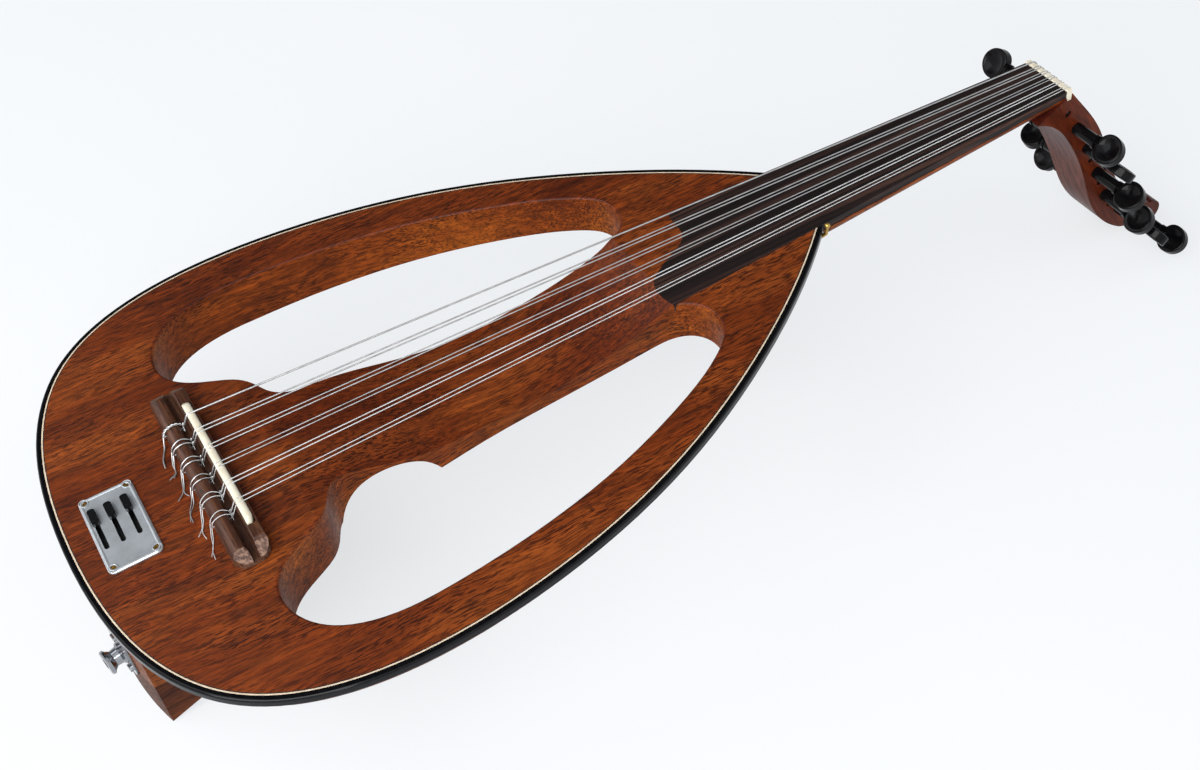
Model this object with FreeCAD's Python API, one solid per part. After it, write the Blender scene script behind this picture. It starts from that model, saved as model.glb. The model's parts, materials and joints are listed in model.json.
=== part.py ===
import FreeCAD, Part
import math
import os

# Open-frame electric oud with eleven strings, fretless neck and bent-back pegbox.
# Millimetres. Everything is drawn with the soundboard plane at Z = 0, the nut at
# X = 0, the head towards +X and the bass side towards +Y. The last step tips the
# instrument onto its two supports (leg and pegbox tip) and sets the ground at Z = 0.

V = FreeCAD.Vector
UP = V(0, 0, 1)

# ---------------------------------------------------------------- driving sizes
# how far cutting shapes run past what they cut
OVERSHOOT = 1.0
HEADROOM = 6.0
BEYOND_TAIL_X = -760.0
BELOW_LEG_Z = -130.0
BODY_REACH_Y = 230.0
PEGBOX_REACH_Y = 40.0
PEGBOX_REACH = 90.0

NECK_JOINT_X = -209.0
TAIL_X = -708.0
NECK_HALF_AT_JOINT = 33.0
NECK_HALF_AT_NUT = 21.0
NECK_DEPTH_AT_JOINT = 21.5
NECK_DEPTH_AT_NUT = 16.0
# half of the body's outline, from the tail to the neck joint
OUTLINE = [(-704.5, 55), (-690.3, 108.4), (-662.3, 149.5), (-625, 172), (-585, 181.7), (-543, 183.6),
           (-500, 179.9), (-455, 171.5), (-409, 158), (-360, 137.5), (-310, 110), (-257, 74)]
OUTLINE_END = (NECK_JOINT_X, NECK_HALF_AT_JOINT)
OUTLINE_MIDDLE = V(-450, 0, 0)
OUTLINE_SAMPLES = 44

SLAB_DEPTH = 36.6
SLAB_RISE_START_X = -540.0
SLAB_DEPTH_AT_JOINT = 24.0
HULL_SECTIONS = [(-4.8, 0.8), (-8.8, 2.6), (-19.0, 11.0), (-38.0, 27.0)]  # (z, inset)

BINDING_WIDTH = 3.6
BINDING_HEIGHT = 4.8
BINDING_ROUND = 1.4
CREAM_LINE = 0.9
DARK_LINE = 0.6
PURFLING_DEPTH = 1.2
ROUNDING_STEPS = 4

# one through cut-out on the bass side; the treble one is its mirror image
CUT_OUTER = [(-613, 117), (-599, 136.3), (-568, 148.3), (-534, 149.2), (-481, 143.7), (-425, 131.7),
             (-366, 110.1), (-325, 87.4), (-311.5, 73), (-309, 60.4), (-313, 47), (-325, 38.6)]
CUT_INNER = [(-345, 37), (-404, 38.2), (-470, 40.3), (-530, 42.2), (-560, 43.6)]
CUT_TAIL = [(-571, 61), (-594, 76.5), (-611.5, 92)]
CUT_CENTRE = V(-470, 95, 0)
CUT_SAMPLES = 60
CUT_EDGE_ROUND = 1.6
CUT_FLOOR_Z = -60.0
SCOOP = [(-584, 0.6), (-576, -0.1), (-567, -1.3), (-556, -3.4), (-536, -7.8), (-512, -13.6), (-486, -19),
         (-460, -22), (-430, -22.8), (-400, -20.4), (-370, -15.6), (-345, -8.6), (-323, 0.8)]
SCOOP_HALF_WIDTH = 70.0
# ball-shaped hollows cut from below into both edges of the centre strip
RELIEF_CENTRE = (-527, 55, -50)
RELIEF_RADIUS = 38.0

FINGERBOARD_THICKNESS = 5.0
FINGERBOARD_END = [(-282, 36.8), (-284.5, 30), (-285, 20.4), (-288, 11), (-296, 4.5), (-306, -0.5),
                   (-317, -7), (-325, -14.5), (-327, -23), (-325, -39)]

LEG_HALF = 60.0
LEG_HEAD_X = -612.0
LEG_TAIL_X = -706.6
LEG_TAIL_RADIUS = 190.0
LEG_JOINT_Z = -75.4
LEG_FOOT_Z = -111.0
LEG_FOOT_LAND = 10.0
LEG_HEAD_Z = -79.5
LEG_TOP_INSET = 2.0

NUT_LENGTH = 4.5
NUT_HEIGHT = 1.1
NUT_DEPTH = 8.0
NUT_OVERHANG = 0.4
NUT_ROUND = 0.9
NUT_NOTCH = 0.45
NUT_FIT = 0.2
STRING_COUNT = 11
SADDLE_SPREAD = 80.4
NUT_SPREAD = 34.8
SADDLE_PAIR_GAP = 3.2
NUT_PAIR_GAP = 2.4
SADDLE_CENTRE_Y = 0.8
STRING_DIAMETERS = [1.15, 0.9, 0.9, 0.8, 0.8, 0.7, 0.7, 0.65, 0.65, 0.55, 0.55]
STRING_BEND = 1.6
STRING_GAP = 0.35
STRING_SIDE_ROOM = 2.5
STRING_PAST_NUT = 0.5
STRING_PAST_BRIDGE = 0.6
STRING_PAST_TIE = 1.2

BRIDGE_FRONT_X = -606.5
BRIDGE_BACK_X = -629.0
BRIDGE_HALF = 76.0
BRIDGE_TOP = 10.6
BRIDGE_CORNER = 7.0
BRIDGE_FLOOR = 2.4
BRIDGE_END_LENGTH = 13.0
BRIDGE_END_TOP = 12.0
BRIDGE_END_RUN = 20.0
SADDLE_X = -610.6
SADDLE_THICKNESS = 4.8
SADDLE_Y = (-56.0, 52.8)
SADDLE_FOOT_Z = 4.0
SADDLE_WALL = 1.2
PICKUP_STRIP = 1.4
PICKUP_STRIP_FIT = 0.3
PICKUP_HOLE_RADIUS = 1.4
SADDLE_TOP = 13.4
SADDLE_ROUND = 0.8
SADDLE_NOTCH = 0.3
TIE_TOP = 9.6
TIE_HOLE_Z = 4.6
TIE_HOLE_RADIUS = 0.7
TIE_FRONT_X = -619.0

PEGBOX_HALF_AT_NUT = 22.3
PEGBOX_HALF_AT_TIP = 13.0
PEGBOX_LENGTH = 205.0
CHEEK_AT_NUT = 4.0
CHEEK_AT_TIP = 4.5
PEGBOX_FRONT = [(4.7, -3), (14.5, -16), (26, -31.5), (36, -47), (44.5, -64), (54, -86),
                (65, -110), (80, -133.5), (98, -150), (111, -160.5)]
PEGBOX_TIP = [(122.5, -172), (112.5, -181.5)]
PEGBOX_BACK = [(81, -168.5), (59, -149), (45, -128), (35.5, -105), (24.5, -77), (11, -51.5),
               (-2, -32.5), (-24, -16.8)]
PEGBOX_SLOT_BACK = [(-7, -20), (1.2, -29.3), (14.5, -49.4), (28, -75.5), (39.6, -103.5),
                    (49.9, -125.4), (63.1, -145.3), (83.8, -163.3), (104, -172.5)]
PEGBOX_SLOT_END = (113, -161.5)
PEGBOX_OPEN_SIDE = [(150, -150), (90, -20), (40, 10)]
NECK_END_TOP = (-1.0, -5.2)
PAST_NUT_X = 12.0
BELOW_NECK_Z = -60.0

# peg axes across the pegbox: (x, z, side of the head, turn of the head in degrees)
PEGS = [(3.5, -20, 1, -58), (13.5, -37, -1, -40), (21.2, -47.4, 1, 40), (27.9, -61.9, -1, 44),
        (35, -77, 1, 30), (42.3, -92.6, -1, -36), (48.8, -105.9, 1, -30), (56.1, -121.3, -1, -45),
        (64.5, -135, 1, -54), (75, -145, -1, 50), (96.5, -162.5, -1, -42)]
PEG_ROOT_RADIUS = 4.2
PEG_TAPER = 0.036
PEG_TIP_RECESS = 1.2
PEG_HOLE_RUNOUT = 5.0
PEG_FIT = 0.06
PEG_STEM_RADIUS = 4.5
PEG_STEM_GAP = 0.8
PEG_RING_Y = 40.0
PEG_RING_RADIUS = 5.2
PEG_RING_LENGTH = 2.2
PEG_WAIST_RADIUS = 3.3
PEG_WAIST_TENON = 2.0
PEG_HEAD_Y = 43.4
# half of the head's outline, (distance along the axis, half width)
PEG_HEAD_OUTLINE = [(0, 2.8), (1.2, 6.6), (3.6, 9.2), (8, 10.7), (13, 10.2), (17.6, 7.4),
                    (20.2, 3.4), (20.8, 0)]
PEG_HEAD_THICKNESS = 7.4
PEG_HEAD_EDGE = 1.2
PEG_DISH_MIDDLE = 10.6
PEG_DISH_RADIUS = 8.2
PEG_DISH_DEPTH = 1.9
# peg that each string goes to, from the bass string to the last treble string
PEG_OF_STRING = [10, 8, 9, 6, 7, 4, 5, 2, 3, 0, 1]

PLATE_X = (-690.2, -657.8)
PLATE_Y = (-36.4, 25.4)
PLATE_THICKNESS = 1.5
PLATE_CORNER = 4.0
PLATE_BEVEL = 0.7
SLIDER_X = [-685.2, -675.4, -665.5]
SLIDER_SLOT_Y = (-17.8, 14.0)
SLIDER_SLOT_WIDTH = 3.0
SLIDER_SLOT_CORNER = 1.4
SLIDER_KNOB = (4.6, 12.5, 2.6)
SLIDER_KNOB_CORNER = 1.8
SLIDER_KNOB_LIFT = 0.3
SLIDER_END_GAP = 0.6
SLIDER_RIDGES = 4
SLIDER_RIDGE_PITCH = 2.1
SLIDER_RIDGE_GROOVE = (0.8, 0.5)
SLIDER_RIDGE_FIRST = 3.0
SLIDER_STEM = (1.6, 4.0)
SLIDER_STEM_FOOT_Z = -3.4
SLIDER_NAMES = ["volume", "treble_tone", "bass_tone"]
POT_HALF = 3.0
POT_Z = (-8.5, -1.2)
POT_WAY_HALF = 1.3
POT_WAY_Z = -4.5
POT_END = 3.0
POT_WAY_END = 0.5
SCREW_INSET = 3.1
PLATE_SCREW_RADIUS = 1.05
PLATE_SCREW_HEAD = 2.05
PLATE_SCREW_SINK = 1.0
PLATE_SCREW_LENGTH = 8.6
PLATE_SCREW_DOME = 0.35
PLATE_SCREW_CROSS = (1.2, 0.22, 0.25)
PLATE_SCREW_HOLE = (1.1, 9.0)
PLATE_HOLE_RADIUS = 1.15
PLATE_SINK_RADIUS = 2.2
PLATE_SINK_FIT = 0.05
CAVITY_DEPTH = 26.0
CAVITY_WALL = 1.8
CAVITY_END_WALL = 6.4
BOARD_Z = -10.1
BOARD_THICKNESS = 1.6
BOARD_MARGIN = 1.0
CHIP_SIZE = (5.5, 12.0, 2.5)
CHIP_CORNERS = [(-684, -20), (-676, -20)]
CAPACITOR_RADIUS = 2.5
CAPACITOR_LENGTH = 6.0
CAPACITORS = [(-668, -20), (-668, 0), (-668, 6)]

JACK_Y = -38.0
JACK_Z = -60.0
JACK_BORE = 3.2
JACK_BODY_RADIUS = 6.0
JACK_BODY_LENGTH = 30.0
JACK_BODY_START = 4.0
JACK_BODY_GAP = 0.3
JACK_BORE_LENGTH = 26.0
JACK_NECK_RADIUS = 4.6
JACK_NECK_LENGTH = 8.0
JACK_LEAD_ROOM = 4.0
JACK_PLATE_SIZE = (16.0, 38.0, 1.3)
JACK_PLATE_CORNER = 6.0
JACK_PLATE_HOLE = 4.75
JACK_SCREW_INSET = 3.6
JACK_SCREW_HOLE = (1.25, 9.0)
JACK_PLATE_SCREW_HOLE = 1.4
# flanged ring round the jack, (radius, height above the plate)
STRAP_RING = [(7.2, 0), (7.2, 1.2), (5.4, 2.6), (5.0, 6.2), (6.4, 8.2), (7.8, 9.0),
              (7.8, 10.4), (7.0, 11.2)]
# flat-headed screws: (head radius, head height, shank radius, length)
JACK_SCREW = (2.7, 1.5, 1.2, 9.0)
LID_SCREW = (2.4, 1.2, 1.05, 9.5)
SCREW_SLOT_WIDTH = 0.5
SCREW_SLOT_DEPTH = 0.4  # of the head's height

BATTERY_SIZE = (25.5, 48.0, 17.0)
BATTERY_Z = -57.0
BATTERY_GAP = 1.0
BATTERY_INSET = 5.0
BATTERY_EDGE = 2.0
BATTERY_CONTACT_ROOM = 4.0
BATTERY_STUD = (2.8, 2.6)
BATTERY_STUD_OUT = 6.3
SNAP_SIZE = (22.0, 1.8, 12.0)
SNAP_CORNER = 2.5
SNAP_FROM_BAY = 0.5
LID_THICKNESS = 2.0
LID_MARGIN = (8.0, 4.0)
LID_CORNER = 4.0
LID_SCREW_OUT = 4.6
LID_SCREW_HOLE = (1.1, 9.0)
LID_HOLE_RADIUS = 1.15

# drilled ways for the leads, and the leads in them
LEAD_WAY_RADIUS = 1.6
LEG_WAY_RADIUS = 2.2
BATTERY_WAY = (-665.0, -10.0)
PICKUP_WAY_Y = 20.0
PICKUP_WAY_Z = -12.4
PICKUP_WAY_END = (-664.8, 12.0)
PICKUP_LEAD_END = (-662.7, 12.6)
PICKUP_LEAD_TOP = 3.9
JACK_WAY_TOP = (-671.6, -28.0)
JACK_WAY_DROP = 2.0
JACK_LEAD_END_Y = -27.0
JACK_LEAD_STRAIGHT = (0.1, 2.2)
WIRE_RADIUS = 0.9
WIRE_BEND = 1.5
BATTERY_WIRE_BEND = 1.8
WIRE_FROM_BOARD = 0.2
WIRE_FROM_SNAP = 0.8

# small ball-ended hook screwed into the treble corner between body and neck
STRAP_PIN_BEND = (-210.2, -37.0, -4.2)
STRAP_PIN_INWARD = (-0.45, 0.52, -0.72)
STRAP_PIN_RISE = (0.8, -0.1, 6.4)
STRAP_PIN_SCREW = 10.0
STRAP_PIN_RADIUS = 1.1
STRAP_PIN_TURN = 1.5
STRAP_PIN_BALL = 1.9
STRAP_PIN_FIT = 0.05


# ---------------------------------------------------------------- small helpers
def box(x0, x1, y0, y1, z0, z1):
    return Part.makeBox(x1 - x0, y1 - y0, z1 - z0, V(x0, y0, z0))


def spline(points):
    curve = Part.BSplineCurve()
    curve.interpolate(points)
    return curve.toShape()


def segments(points):
    return [Part.makeLine(a, b) for a, b in zip(points, points[1:])]


def flat(points, z):
    return [V(x, y, z) for x, y in points]


def upright(points, y):
    return [V(x, y, z) for x, z in points]


def prism(wire, height):
    return Part.Face(wire).extrude(V(0, 0, height))


def side_prism(edges, half_width):
    """Solid whose side view is the closed loop of edges drawn at Y = -half_width."""
    return Part.Face(Part.Wire(Part.__sortEdges__(edges))).extrude(V(0, 2 * half_width, 0))


def rounded_plate(x0, x1, y0, y1, z0, z1, corner):
    plate = box(x0, x1, y0, y1, z0, z1)
    corners = [e for e in plate.Edges if abs(e.tangentAt(e.FirstParameter).z) > 0.99]
    return plate.makeFillet(corner, corners)


def top_edges(solid, top):
    return [e for e in solid.Edges if e.BoundBox.ZMin > top - 0.01]


def tube_path(points, radius, bend):
    """Round wire of the given radius along straight runs joined by tangent arcs."""
    edges = []
    start = points[0]
    for before, corner, after in zip(points, points[1:], points[2:]):
        d_in = (corner - before).normalize()
        d_out = (after - corner).normalize()
        half_turn = d_in.getAngle(d_out) / 2
        reach = bend * math.tan(half_turn)
        arc_in = corner - d_in * reach
        arc_out = corner + d_out * reach
        inward = (d_out - d_in).normalize()
        middle = corner + inward * (bend / math.cos(half_turn) - bend)
        edges.append(Part.makeLine(start, arc_in))
        edges.append(Part.Arc(arc_in, middle, arc_out).toShape())
        start = arc_out
    edges.append(Part.makeLine(start, points[-1]))
    circle = Part.Wire(Part.makeCircle(radius, points[0], edges[0].tangentAt(0)))
    return Part.Wire(edges).makePipeShell([circle], True, False)


def lerp(a, b, t):
    return a + (b - a) * t


# ---------------------------------------------------------------- body outline
def outline_curve():
    treble = [(x, -y) for x, y in [OUTLINE_END] + OUTLINE[::-1]]
    bass = OUTLINE + [OUTLINE_END]
    curve = Part.BSplineCurve()
    curve.interpolate(flat(treble + [(TAIL_X, 0)] + bass, 0))
    return curve


OUTLINE_CURVE = outline_curve()


def outline_wire(inset, z):
    """Closed outline moved inwards by inset, ended straight across the neck joint."""
    first, last = OUTLINE_CURVE.FirstParameter, OUTLINE_CURVE.LastParameter
    points = []
    for i in range(OUTLINE_SAMPLES + 1):
        t = lerp(first, last, i / OUTLINE_SAMPLES)
        point = OUTLINE_CURVE.value(t)
        tangent = OUTLINE_CURVE.tangent(t)[0]
        inward = UP.cross(tangent).normalize()
        if inward.dot(OUTLINE_MIDDLE - point) < 0:
            inward = inward * -1
        points.append(V(point.x, point.y, z) + inward * inset)
    edge = spline(points)
    closing = Part.makeLine(points[-1], points[0])
    return Part.Wire([edge, closing])


def outline_prism(inset, z0, z1):
    return prism(outline_wire(inset, z0), z1 - z0)


def below_slab():
    """Everything under the slab's lower face, which rises towards the neck."""
    head_x = NECK_JOINT_X + OVERSHOOT
    profile = [(BEYOND_TAIL_X, -SLAB_DEPTH), (SLAB_RISE_START_X, -SLAB_DEPTH),
               (head_x, -SLAB_DEPTH_AT_JOINT), (head_x, BELOW_LEG_Z), (BEYOND_TAIL_X, BELOW_LEG_Z)]
    points = upright(profile + profile[:1], -BODY_REACH_Y)
    return side_prism(segments(points), BODY_REACH_Y)


def fingerboard_plan():
    end = spline(flat(FINGERBOARD_END, 0))
    x_bass, y_bass = FINGERBOARD_END[0]
    x_treble, y_treble = FINGERBOARD_END[-1]
    sides = segments(flat([(x_treble, y_treble), (0, -NECK_HALF_AT_NUT), (0, NECK_HALF_AT_NUT),
                           (x_bass, y_bass)], 0))
    return Part.Wire([end] + sides)


def fingerboard():
    return prism(fingerboard_plan(), -FINGERBOARD_THICKNESS)


def cutout_curve():
    curve = Part.BSplineCurve()
    curve.interpolate(flat(CUT_OUTER + CUT_INNER + CUT_TAIL, 0), PeriodicFlag=True)
    return curve


CUTOUT_CURVE = cutout_curve()


def cutout_wire(side, outset, z):
    """Closed edge of a cut-out, moved outwards into the wood by outset."""
    first, last = CUTOUT_CURVE.FirstParameter, CUTOUT_CURVE.LastParameter
    turn = UP if cutout_runs_clockwise() else UP * -1
    points = []
    for i in range(CUT_SAMPLES):
        t = lerp(first, last, i / CUT_SAMPLES)
        point = CUTOUT_CURVE.value(t)
        outward = turn.cross(CUTOUT_CURVE.tangent(t)[0]).normalize()
        moved = point + outward * outset
        points.append(V(moved.x, moved.y * side, z))
    curve = Part.BSplineCurve()
    curve.interpolate(points, PeriodicFlag=True)
    return Part.Wire(curve.toShape())


def cutout_runs_clockwise():
    """True where the left-hand side of the curve's direction is the wood."""
    t = CUTOUT_CURVE.FirstParameter
    left = UP.cross(CUTOUT_CURVE.tangent(t)[0])
    return left.dot(CUT_CENTRE - CUTOUT_CURVE.value(t)) < 0


def quarter_round(radius):
    """(z, setback) pairs of an edge rounded over, from its foot up to the top face."""
    pairs = []
    for k in range(ROUNDING_STEPS + 1):
        angle = math.radians(90.0 * k / ROUNDING_STEPS)
        pairs.append((-radius + radius * math.sin(angle), radius - radius * math.cos(angle)))
    return pairs


def cutout_tool(side):
    """Through opening whose upper edge flares out in a small quarter round."""
    sections = [cutout_wire(side, 0, CUT_FLOOR_Z)]
    sections += [cutout_wire(side, setback, z) for z, setback in quarter_round(CUT_EDGE_ROUND)]
    sections.append(cutout_wire(side, CUT_EDGE_ROUND, HEADROOM))
    return Part.makeLoft(sections, True, True)


def scoop_cutter():
    top = spline(upright(SCOOP, -SCOOP_HALF_WIDTH))
    first, last = SCOOP[0], SCOOP[-1]
    lid = segments(upright([last, (last[0], HEADROOM), (first[0], HEADROOM), first], -SCOOP_HALF_WIDTH))
    return side_prism([top] + lid, SCOOP_HALF_WIDTH)


def relief_balls():
    x, y, z = RELIEF_CENTRE
    return [Part.makeSphere(RELIEF_RADIUS, V(x, side * y, z)) for side in (1, -1)]


def leg_plan_limit():
    """Vertical solid that holds the leg: flat cheeks and a gently round tail face."""
    bulge = LEG_TAIL_RADIUS - math.sqrt(LEG_TAIL_RADIUS ** 2 - LEG_HALF ** 2)
    corner_x = LEG_TAIL_X + bulge
    a, b, c, d, e = flat([(corner_x, -LEG_HALF), (LEG_TAIL_X, 0), (corner_x, LEG_HALF),
                          (LEG_HEAD_X, LEG_HALF), (LEG_HEAD_X, -LEG_HALF)], BELOW_LEG_Z)
    edges = [Part.Arc(a, b, c).toShape()] + segments([c, d, e, a])
    return prism(Part.Wire(edges), -BINDING_HEIGHT - BELOW_LEG_Z)


def cavity_box(depth_top, depth_bottom, margin):
    return box(PLATE_X[0] + CAVITY_WALL + margin, PLATE_X[1] - CAVITY_WALL - margin,
               PLATE_Y[0] + CAVITY_END_WALL + margin, PLATE_Y[1] - CAVITY_END_WALL - margin,
               depth_bottom, depth_top)


def round_bore(start, end, radius):
    run = end - start
    return Part.makeCylinder(radius, run.Length, start, run)


def jack_frame():
    """Point where the jack's axis meets the leg's tail face, and the outward direction."""
    angle = math.asin(JACK_Y / LEG_TAIL_RADIUS)
    x = LEG_TAIL_X + LEG_TAIL_RADIUS * (1 - math.cos(angle))
    return V(x, JACK_Y, JACK_Z), V(-math.cos(angle), math.sin(angle), 0)


def pickup_way():
    """Drilled from under the saddle down into the slab, then back into the preamp cavity."""
    corner = V(SADDLE_X, PICKUP_WAY_Y, PICKUP_WAY_Z)
    top = V(SADDLE_X, PICKUP_WAY_Y, OVERSHOOT)
    down = round_bore(top, corner - UP * LEAD_WAY_RADIUS, LEAD_WAY_RADIUS)
    return down.fuse(round_bore(corner, V(*PICKUP_WAY_END, PICKUP_WAY_Z), LEAD_WAY_RADIUS))


def battery_way():
    """Down from the preamp cavity into the leg, then across to the battery's snap."""
    corner = V(*BATTERY_WAY, BATTERY_Z)
    top = V(*BATTERY_WAY, OVERSHOOT - CAVITY_DEPTH)
    down = round_bore(top, corner - UP * LEAD_WAY_RADIUS, LEG_WAY_RADIUS)
    return down.fuse(round_bore(corner, snap_end() - V(2 * OVERSHOOT, 0, 0), LEG_WAY_RADIUS))


def jack_way():
    """Up from behind the jack into the preamp cavity."""
    face, outward = jack_frame()
    behind = face - outward * (JACK_BODY_LENGTH + JACK_LEAD_STRAIGHT[1])
    return round_bore(behind, V(*JACK_WAY_TOP, JACK_WAY_DROP - CAVITY_DEPTH), LEG_WAY_RADIUS)


def body_frame():
    hull = Part.makeLoft([outline_wire(inset, z) for z, inset in HULL_SECTIONS], True, False)
    tail_block = leg_plan_limit().common(outline_prism(LEG_TOP_INSET, -SLAB_DEPTH, -BINDING_HEIGHT))
    deck = outline_prism(BINDING_WIDTH, -BINDING_HEIGHT, -PURFLING_DEPTH)
    top = outline_prism(BINDING_WIDTH + CREAM_LINE + DARK_LINE, -PURFLING_DEPTH, 0)
    slab = hull.cut(below_slab()).fuse([tail_block, deck, top])
    slab = slab.removeSplitter()
    slab = slab.cut([cutout_tool(1), cutout_tool(-1)])
    slab = slab.cut(scoop_cutter())
    slab = slab.cut(relief_balls())
    slab = slab.cut(fingerboard())
    slab = slab.cut(strap_pin_hole())
    slab = slab.cut(cavity_box(OVERSHOOT, -CAVITY_DEPTH, 0))
    return slab.cut([pickup_way(), battery_way(), jack_way()] + plate_screw_holes())


def binding():
    """Black edging with a rounded shoulder, open where the neck joins."""
    sections = [outline_wire(0, -BINDING_HEIGHT)]
    sections += [outline_wire(setback, z) for z, setback in quarter_round(BINDING_ROUND)]
    band = Part.makeLoft(sections, True, True)
    band = band.cut(outline_prism(BINDING_WIDTH, -BINDING_HEIGHT - OVERSHOOT, OVERSHOOT))
    return band.cut([fingerboard_clearance(), strap_pin_hole()])


def purfling(outer, width):
    """Thin inlaid line that follows the outline."""
    line = outline_prism(outer, -PURFLING_DEPTH, 0)
    line = line.cut(outline_prism(outer + width, -PURFLING_DEPTH - OVERSHOOT, OVERSHOOT))
    return line.cut(fingerboard_clearance())


def fingerboard_clearance():
    return prism(fingerboard_plan(), -BINDING_HEIGHT - OVERSHOOT)


# ---------------------------------------------------------------- leg
def leg_side(points):
    half = LEG_HALF + OVERSHOOT
    return side_prism(segments(upright(points + points[:1], -half)), half)


def rest_slope():
    """Fall of the ground line towards the head, per millimetre, in the drawing frame."""
    tip_x, tip_z = PEGBOX_TIP[1]
    return (LEG_FOOT_Z - tip_z) / (tip_x - LEG_TAIL_X)


def battery_bay():
    length_x, length_y, height = BATTERY_SIZE
    half_y = length_y / 2 + BATTERY_GAP
    half_z = height / 2 + BATTERY_GAP
    return box(LEG_HEAD_X - BATTERY_INSET - length_x - BATTERY_GAP, LEG_HEAD_X + OVERSHOOT,
               -half_y, half_y, BATTERY_Z - half_z, BATTERY_Z + half_z)


def jack_bore():
    face, outward = jack_frame()
    end = face - outward * (JACK_BODY_LENGTH + JACK_LEAD_ROOM)
    return round_bore(face + outward * OVERSHOOT, end, JACK_BODY_RADIUS + JACK_BODY_GAP)


def leg_upper():
    band = box(BEYOND_TAIL_X, LEG_HEAD_X, -BODY_REACH_Y, BODY_REACH_Y, LEG_JOINT_Z, -SLAB_DEPTH)
    block = leg_plan_limit().common(band)
    block = block.cut(battery_bay())
    block = block.cut(jack_bore())
    return block.cut([battery_way(), jack_way()] + jack_screw_holes() + lid_screw_holes())


def leg_foot():
    foot_back = LEG_TAIL_X - OVERSHOOT
    land_end_z = LEG_FOOT_Z - rest_slope() * LEG_FOOT_LAND
    profile = [(foot_back, LEG_JOINT_Z), (foot_back, LEG_FOOT_Z + rest_slope()),
               (foot_back + LEG_FOOT_LAND, land_end_z), (LEG_HEAD_X, LEG_HEAD_Z),
               (LEG_HEAD_X, LEG_JOINT_Z)]
    return leg_plan_limit().common(leg_side(profile)).cut(jack_screw_holes())


# ---------------------------------------------------------------- neck
def neck_section(x, half, depth):
    """Half ellipse hanging under the fingerboard."""
    centre = V(x, 0, -FINGERBOARD_THICKNESS)
    drop = depth - FINGERBOARD_THICKNESS
    sweep = Part.Ellipse(V(x, half, centre.z), V(x, 0, centre.z - drop), centre)
    arc = Part.Arc(sweep, 0, math.pi).toShape()
    ends = [arc.valueAt(arc.FirstParameter), arc.valueAt(arc.LastParameter)]
    return Part.Wire([arc, Part.makeLine(ends[1], ends[0])])


def neck():
    near = neck_section(NECK_JOINT_X, NECK_HALF_AT_JOINT, NECK_DEPTH_AT_JOINT)
    far = neck_section(0, NECK_HALF_AT_NUT, NECK_DEPTH_AT_NUT)
    solid = Part.makeLoft([near, far], True, True)
    beyond = [(NECK_END_TOP[0], HEADROOM), (PAST_NUT_X, HEADROOM), (PAST_NUT_X, BELOW_NECK_Z),
              PEGBOX_BACK[-1], NECK_END_TOP]
    cutter = side_prism(segments(upright(beyond + beyond[:1], -PEGBOX_REACH_Y)), PEGBOX_REACH_Y)
    return solid.cut(cutter)


def nut():
    half = NECK_HALF_AT_NUT + NUT_OVERHANG
    block = box(0, NUT_LENGTH, -half, half, -NUT_DEPTH, NUT_HEIGHT)
    long_edges = [e for e in top_edges(block, NUT_HEIGHT) if e.Length > half]
    block = block.makeFillet(NUT_ROUND, long_edges)
    return block.cut([string(i) for i in range(STRING_COUNT)])


# ---------------------------------------------------------------- pegbox
def pegbox_axis():
    start = V(PEGBOX_FRONT[0][0], 0, PEGBOX_FRONT[0][1])
    tip = V(PEGBOX_TIP[1][0], 0, PEGBOX_TIP[1][1])
    return start, (tip - start).normalize()


def along_pegbox(x, z):
    start, direction = pegbox_axis()
    return (V(x, 0, z) - start).dot(direction)


def pegbox_half(x, z):
    return lerp(PEGBOX_HALF_AT_NUT, PEGBOX_HALF_AT_TIP, along_pegbox(x, z) / PEGBOX_LENGTH)


def taper_wedge(half_start, half_end):
    """Wedge that narrows along the pegbox; everything between the two cheek planes."""
    start, direction = pegbox_axis()
    across = direction.cross(V(0, 1, 0))
    low, high = -PEGBOX_REACH, PEGBOX_LENGTH + PEGBOX_REACH
    corners = []
    for s, side in ((low, -1), (high, -1), (high, 1), (low, 1)):
        half = lerp(half_start, half_end, s / PEGBOX_LENGTH)
        corners.append(start + direction * s + V(0, side * half, 0) - across * PEGBOX_REACH)
    return Part.Face(Part.Wire(segments(corners + corners[:1]))).extrude(across * 2 * PEGBOX_REACH)


def pegbox_loop():
    half = PEGBOX_REACH_Y
    front = spline(upright(PEGBOX_FRONT, -half))
    back = spline(upright(PEGBOX_BACK, -half))
    tip_top, tip_low = upright(PEGBOX_TIP, -half)
    nose = Part.Arc(upright(PEGBOX_FRONT[-1:], -half)[0], tip_top, tip_low).toShape()
    under = Part.makeLine(tip_low, upright(PEGBOX_BACK[:1], -half)[0])
    joint = segments(upright([PEGBOX_BACK[-1], NECK_END_TOP, (0, NECK_END_TOP[1]), (0, -NUT_DEPTH),
                              (NUT_LENGTH + NUT_FIT, -NUT_DEPTH), PEGBOX_FRONT[0]], -half))
    return [front, nose, under, back] + joint


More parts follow.
